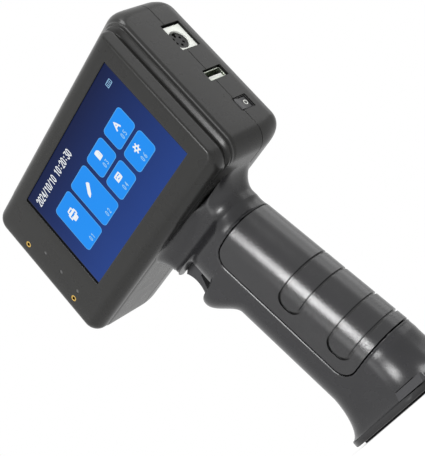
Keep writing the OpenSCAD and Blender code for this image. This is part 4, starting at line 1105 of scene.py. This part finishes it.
@dataclass
class ScreenPicture:
    """The lit picture: a blue field, six tiles with marks, a clock line and a battery mark.

    The picture's own frame has its origin in the middle of the screen, x to the right and z up,
    and its places and tiles (left, bottom, right, top) are in millimetres. A line of digits has a
    height and a pitch, and each digit is drawn as strokes on a box one wide and two tall.
    """

    layer: float = 0.05 * MM
    turned_in: float = 0.25 * MM
    stroke: float = 0.95 * MM
    tiles: tuple[tuple[float, float, float, float], ...] = (
        (-43.2, -16.2, -24.2, 12.8),
        (-21.6, -16.2, -2.8, 12.8),
        (0.0, -0.8, 19.0, 12.8),
        (0.0, -16.2, 19.0, -2.9),
        (22.0, -0.8, 41.6, 12.8),
        (22.0, -16.2, 41.6, -2.9),
    )
    tile_corner: float = 2.4 * MM
    mark_rise: float = 0.66
    number_size: tuple[float, float] = (2.8 * MM, 2.6 * MM)
    number_stroke: float = 0.42 * MM
    rim_stroke: float = 0.3 * MM
    clock: str = "2024/10/10 10:20:30"
    clock_at: tuple[float, float] = (-49.0, 21.2)
    clock_size: tuple[float, float] = (4.4 * MM, 2.36 * MM)
    clock_stroke: float = 0.62 * MM
    battery_at: tuple[float, float] = (46.7, 23.2)
    battery_stroke: float = 0.34 * MM
    digits: dict[str, tuple[tuple[tuple[float, float], ...], ...]] = field(default_factory=lambda: {
        "0": (((0, 0.4), (0, 1.6), (0.4, 2), (0.6, 2), (1, 1.6), (1, 0.4), (0.6, 0), (0.4, 0), (0, 0.4)),),
        "1": (((0.15, 1.6), (0.55, 2), (0.55, 0)),),
        "2": (((0, 1.6), (0.35, 2), (0.7, 2), (1, 1.6), (1, 1.3), (0, 0), (1, 0)),),
        "3": (((0, 2), (1, 2), (0.45, 1.2), (1, 0.8), (1, 0.35), (0.6, 0), (0.3, 0), (0, 0.35)),),
        "4": (((0.75, 0), (0.75, 2), (0, 0.6), (1, 0.6)),),
        "5": (((1, 2), (0.1, 2), (0, 1.15), (0.6, 1.25), (1, 0.9), (1, 0.35), (0.6, 0), (0, 0.2)),),
        "6": (((0.9, 2), (0.3, 1.5), (0, 0.8), (0, 0.35), (0.4, 0), (0.7, 0), (1, 0.35), (1, 0.8),
               (0.6, 1.1), (0.1, 0.9)),),
        "/": (((0, 0), (0.9, 2)),),
        ":": (((0.5, 0.45), (0.5, 0.6)), ((0.5, 1.4), (0.5, 1.55))),
    })

    def frame(self) -> tuple[float, float, float]:
        """Finds the picture's middle on the front of the glass."""
        low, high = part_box("display_glass")
        return ((low.x + high.x) / 2, low.y, (low.z + high.z) / 2)

    def lay(self, flat: Grid, level: int) -> Grid:
        """Puts points of the picture's frame on the glass, a number of thin layers in front of it.

        Args:
            flat: Points (..., 2) in the picture's frame.
            level: How many layers in front.

        Returns:
            Points (..., 3) in the printer's frame.
        """
        x, y, z = self.frame()
        depth = np.full(flat.shape[:-1], y - level * self.layer)
        return np.stack([flat[..., 0] + x, depth, flat[..., 1] + z], -1)

    def tile(self, box: tuple[float, float, float, float], corner: float) -> tuple[Grid, Grid]:
        """Makes a rounded tile on a polar grid.

        At angle t the rim is a rectangle whose corners are quarter circles of the given radius,
        and the rings in between shrink that rim towards the middle.

        Args:
            box: Left, bottom, right and top in metres.
            corner: The corners' radius in metres.

        Returns:
            Points in the picture's frame (rings, around, 2), and its quads.
        """
        t = (np.arange(64) + 0.5) / 64 * 2 * np.pi
        half = np.array([(box[2] - box[0]) / 2, (box[3] - box[1]) / 2])
        way = np.stack([np.cos(t), np.sin(t)], -1)
        rim = np.sign(way) * (half - corner) + corner * way
        middle = np.array([(box[0] + box[2]) / 2, (box[1] + box[3]) / 2])
        grid = np.linspace(0.0, 1.0, 4)[:, None, None] * rim + middle
        return grid, Surface("", grid, closed=True).quads()

    def rim(self, box: tuple[float, float, float, float]) -> Grid:
        """Gives a tile's closed outline, a little inside its edge."""
        inside = 0.15 * MM
        corners = (box[0] + inside, box[1] + inside), (box[2] - inside, box[3] - inside)
        loop = rounded_box(*corners, self.tile_corner)
        return np.concatenate([loop, loop[:1]])

    def ribbon(self, path: Grid, wide: float) -> tuple[Grid, Grid]:
        """Carries a flat width along a path of points, square to its direction.

        Args:
            path: Points (n, 2) in the picture's frame.
            wide: The width of the line.

        Returns:
            Points (n, 2, 2) and its quads.
        """
        step = np.gradient(path, axis=0)
        step /= np.linalg.norm(step, axis=1, keepdims=True) + 1e-12
        ends = path.copy()
        ends[0] -= step[0] * wide / 2
        ends[-1] += step[-1] * wide / 2
        side = np.stack([-step[:, 1], step[:, 0]], -1) * wide / 2
        grid = np.stack([ends + side, ends - side], 1)
        return grid, Surface("", grid).quads()

    def lines(self, name: str, paths: list[Grid], wide: float, level: int, finish: Finish) -> None:
        """Draws a set of strokes as one piece.

        Args:
            name: The piece's name.
            paths: One array of points (n, 2) for each stroke.
            wide: The strokes' width.
            level: The layer that they lie on.
            finish: Their material.
        """
        parts = []
        for path in paths:
            steps = [np.linspace(a, b, 5)[:-1] for a, b in zip(path[:-1], path[1:])]
            grid, quads = self.ribbon(np.concatenate(steps + [path[-1:]]), wide)
            parts.append((self.lay(grid, level).reshape(-1, 3), quads))
        place(mesh_object(name, parts), finish, "glass")

    def text(self, line: str, left: float, bottom: float, tall: float, gap: float) -> list[Grid]:
        """Sets a line of digits.

        Args:
            line: The digits.
            left: Where the line starts.
            bottom: Its base.
            tall: The digits' height.
            gap: The pitch from one digit to the next.

        Returns:
            The strokes of all the digits.
        """
        paths = []
        for i, mark in enumerate(line):
            for stroke in self.digits.get(mark, ()):
                flat = np.array(stroke, float) * [min(tall * 0.36, gap * 0.62), tall / 2]
                paths.append(flat + [left + i * gap, bottom])
        return paths

    def marks(self) -> list[Grid]:
        """Draws the six tiles' marks: a printer, a pencil, a page, a picture, a peak and a cog.

        Returns:
            The strokes, in the picture's frame.
        """
        t = np.linspace(0, 2 * np.pi, 25)
        ring = np.stack([np.cos(t), np.sin(t)], -1)
        cogs = [np.stack([ring[i] * 1.2, ring[i] * 2.1]) for i in range(0, 24, 4)]
        sets = [
            [[(-3, -1.3), (-3, 1.3), (3, 1.3), (3, -1.3), (-3, -1.3)], [(-2.4, 0.8), (2.4, 0.8)],
             [(-1.8, 1.6), (-1.8, 3.0), (1.8, 3.0), (1.8, 1.6)],
             [(-1.6, -1.0), (-1.6, -3.2), (1.6, -3.2), (1.6, -1.0)], [(-1.6, -2.2), (1.6, -2.2)]],
            [[(-2.9, -2.9), (-2.4, -1.3), (1.7, 2.8), (2.8, 1.7), (-1.3, -2.4), (-2.9, -2.9)],
             [(-1.8, -1.8), (2.0, 2.0)]],
            [[(-1.5, -2.0), (-1.5, 2.0), (0.5, 2.0), (1.5, 1.0), (1.5, -2.0), (-1.5, -2.0)],
             [(-0.6, -1.7), (-0.6, 1.7)], [(0.4, -1.7), (0.4, 1.2)]],
            [[(-2.1, -1.5), (-2.1, 1.5), (2.1, 1.5), (2.1, -1.5), (-2.1, -1.5)],
             [(-1.6, -0.8), (-0.5, 0.5), (0.4, -0.4), (1.0, 0.1), (1.6, -0.7)]],
            [[(-1.7, -1.8), (0, 2.0), (1.7, -1.8)], [(-1.0, -0.6), (1.0, -0.6)]],
            cogs + [ring * 1.15],
        ]
        paths = []
        for (left, low, right, top), strokes in zip(self.tiles, sets):
            middle = np.array([(left + right) / 2, low + (top - low) * self.mark_rise])
            paths += [(np.array(s, float) + middle) * MM for s in strokes]
        return paths

    def build(self) -> None:
        """Builds the field, the tiles, the marks, the numbers, the clock line and the battery."""
        low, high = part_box("display_glass")
        wide, tall = high.x - low.x, high.z - low.z
        u = np.linspace(-0.5, 0.5, 33)
        x, z = np.meshgrid(u * wide, u * tall, indexing="ij")
        rim = np.minimum(wide / 2 - np.abs(x), tall / 2 - np.abs(z))
        points = self.lay(np.stack([x, z], -1), 1)
        points[..., 1] += self.turned_in * np.exp(-rim / (0.4 * MM))
        place(Surface("picture_field", points).build(), FIELD, "glass")
        boxes = [tuple(v * MM for v in box) for box in self.tiles]
        parts = [self.tile(box, self.tile_corner) for box in boxes]
        tiles = mesh_object("picture_tiles", [(self.lay(g, 2).reshape(-1, 3), q[:, ::-1]) for g, q in parts])
        place(tiles, TILE, "glass")
        self.lines("picture_marks", self.marks(), self.stroke, 3, WHITE)
        numbers = []
        for i, (left, bottom, right, _top) in enumerate(self.tiles):
            at = ((left + right) / 2 - 2.0) * MM, (bottom + 1.7) * MM
            numbers += self.text(f"0{i + 1}", *at, *self.number_size)
        self.lines("picture_numbers", numbers, self.number_stroke, 3, PALE_BLUE)
        self.lines("picture_rims", [self.rim(box) for box in boxes], self.rim_stroke, 3, RIM_BLUE)
        clock = self.text(self.clock, *(v * MM for v in self.clock_at), *self.clock_size)
        self.lines("picture_clock", clock, self.clock_stroke, 2, WHITE)
        case = [(-2.2, -1.2), (-2.2, 1.2), (2.0, 1.2), (2.0, -1.2), (-2.2, -1.2)]
        bars = [[(k - 1.1, -0.6), (k - 1.1, 0.6)] for k in (-0.2, 0.9, 2.0)]
        battery = [(np.array(path) + self.battery_at) * MM for path in [case, *bars]]
        self.lines("picture_battery", battery, self.battery_stroke, 2, PALE_BLUE)


LIT = {"grain": Grain.SMOOTH, "depth_mm": 0.001, "mottle_mm": 40.0, "specular": 0.04}
FIELD = Finish("picture_blue_field", (34, 66, 140), 0.12, mottle=0.10, glow=0.9, upper=(10, 24, 66), **LIT)
TILE = Finish("picture_blue_tile", (28, 146, 248), 0.12, mottle=0.04, glow=0.95, **LIT)
RIM_BLUE = Finish("picture_blue_rim", (92, 178, 246), 0.12, mottle=0.02, glow=0.9, **LIT)
PALE_BLUE = Finish("picture_pale_blue", (164, 214, 250), 0.12, mottle=0.02, glow=0.9, **LIT)
WHITE = Finish("picture_white", (244, 248, 250), 0.12, mottle=0.02, glow=0.95, **LIT)


def rocker_mark() -> bpy.types.Object:
    """Prints a pale ring on the rocker's far half, a flat band that rides on the rocker.

    Returns:
        The ring.
    """
    low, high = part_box("rocker_button")
    middle = (low.y + high.y) / 2
    button = bpy.data.objects["rocker_button"].data.vertices
    face = max(v.co.x for v in button if v.co.y > middle + 2 * MM)
    t = np.linspace(0, 2 * np.pi, 41)[:-1]
    ring = np.stack([np.cos(t), np.sin(t)], -1)
    centre = np.array([middle + 2.4 * MM, (low.z + high.z) / 2])
    inside, outside = 0.9 * MM, 1.4 * MM
    flat = np.stack([centre + radius * ring for radius in (inside, outside)])
    points = np.concatenate([np.full(flat.shape[:2] + (1,), face + 0.03 * MM), flat], -1)
    band = Surface("rocker_ring", points, closed=True).build()
    return place(band, TONGUE, "white_plastic", Body.ROCKER)


@dataclass
class Printer:
    """The whole printer: which finish each solid wears, and the pieces added to it."""

    wardrobe: dict[Finish, tuple[str, ...]] = field(
        default_factory=lambda: {
            CASE: ("nose_plate", "cartridge_bay"),
            STRAP: ("backstrap_cover",),
            FOOT_PLASTIC: ("foot_plate", "latch_button", "trigger"),
            FOOT_RUBBER: ("foot_pad",),
            GLASS: ("display_glass",),
            LENS: ("status_windows",),
            BRASS: ("brass_inserts",),
            SCREW: ("case_screws", "grip_screws", "nose_screws", "foot_screws", "trigger_pin", "roller_pins"),
            STEEL: (
                "trigger_spring", "latch_spring", "wheel_shaft", "wheel_bearings", "encoder_disc",
                "wheel_bracket"),
            BUTTON: ("rocker_button",),
            SOCKET_BLACK: ("din_insert", "rocker_frame", "trigger_switch", "encoder_sensor"),
            SOCKET_PALE: ("din_housing",),
            TONGUE: ("usb_tongue",),
            SHELL_METAL: ("usb_shell", "lcd_panel"),
            BOARD: ("main_board", "port_board", "battery_board"),
            CHIP: ("board_chips", "buzzer", "contact_block"),
            GOLD: ("din_contacts", "contact_pins", "board_standoffs"),
            INK_CASE: ("ink_cartridge",),
            NOZZLE: ("nozzle_plate",),
            TYRE: ("wheel_tyre", "roller_near", "roller_far"),
            CELL: ("battery_cell_front", "battery_cell_rear"),
            HOLDER: ("battery_holder", "wheel_hub"),
            RED: ("switch_plunger",),
        }
    )

    def build(self) -> None:
        """Dresses every solid, then builds the added pieces."""
        for finish, names in self.wardrobe.items():
            finish.dress(*names)
        HousingSkin().build()
        GripSkin().build()
        ScreenPicture().build()
        rocker_mark()


def main() -> None:
    """Loads the solids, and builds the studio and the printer."""
    logging.basicConfig(level=logging.INFO, format="%(name)s: %(message)s")
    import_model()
    bpy.context.scene.view_settings.view_transform = "Standard"
    Studio().build()
    Printer().build()
    bpy.context.view_layer.update()


if __name__ == "__main__":
    main()
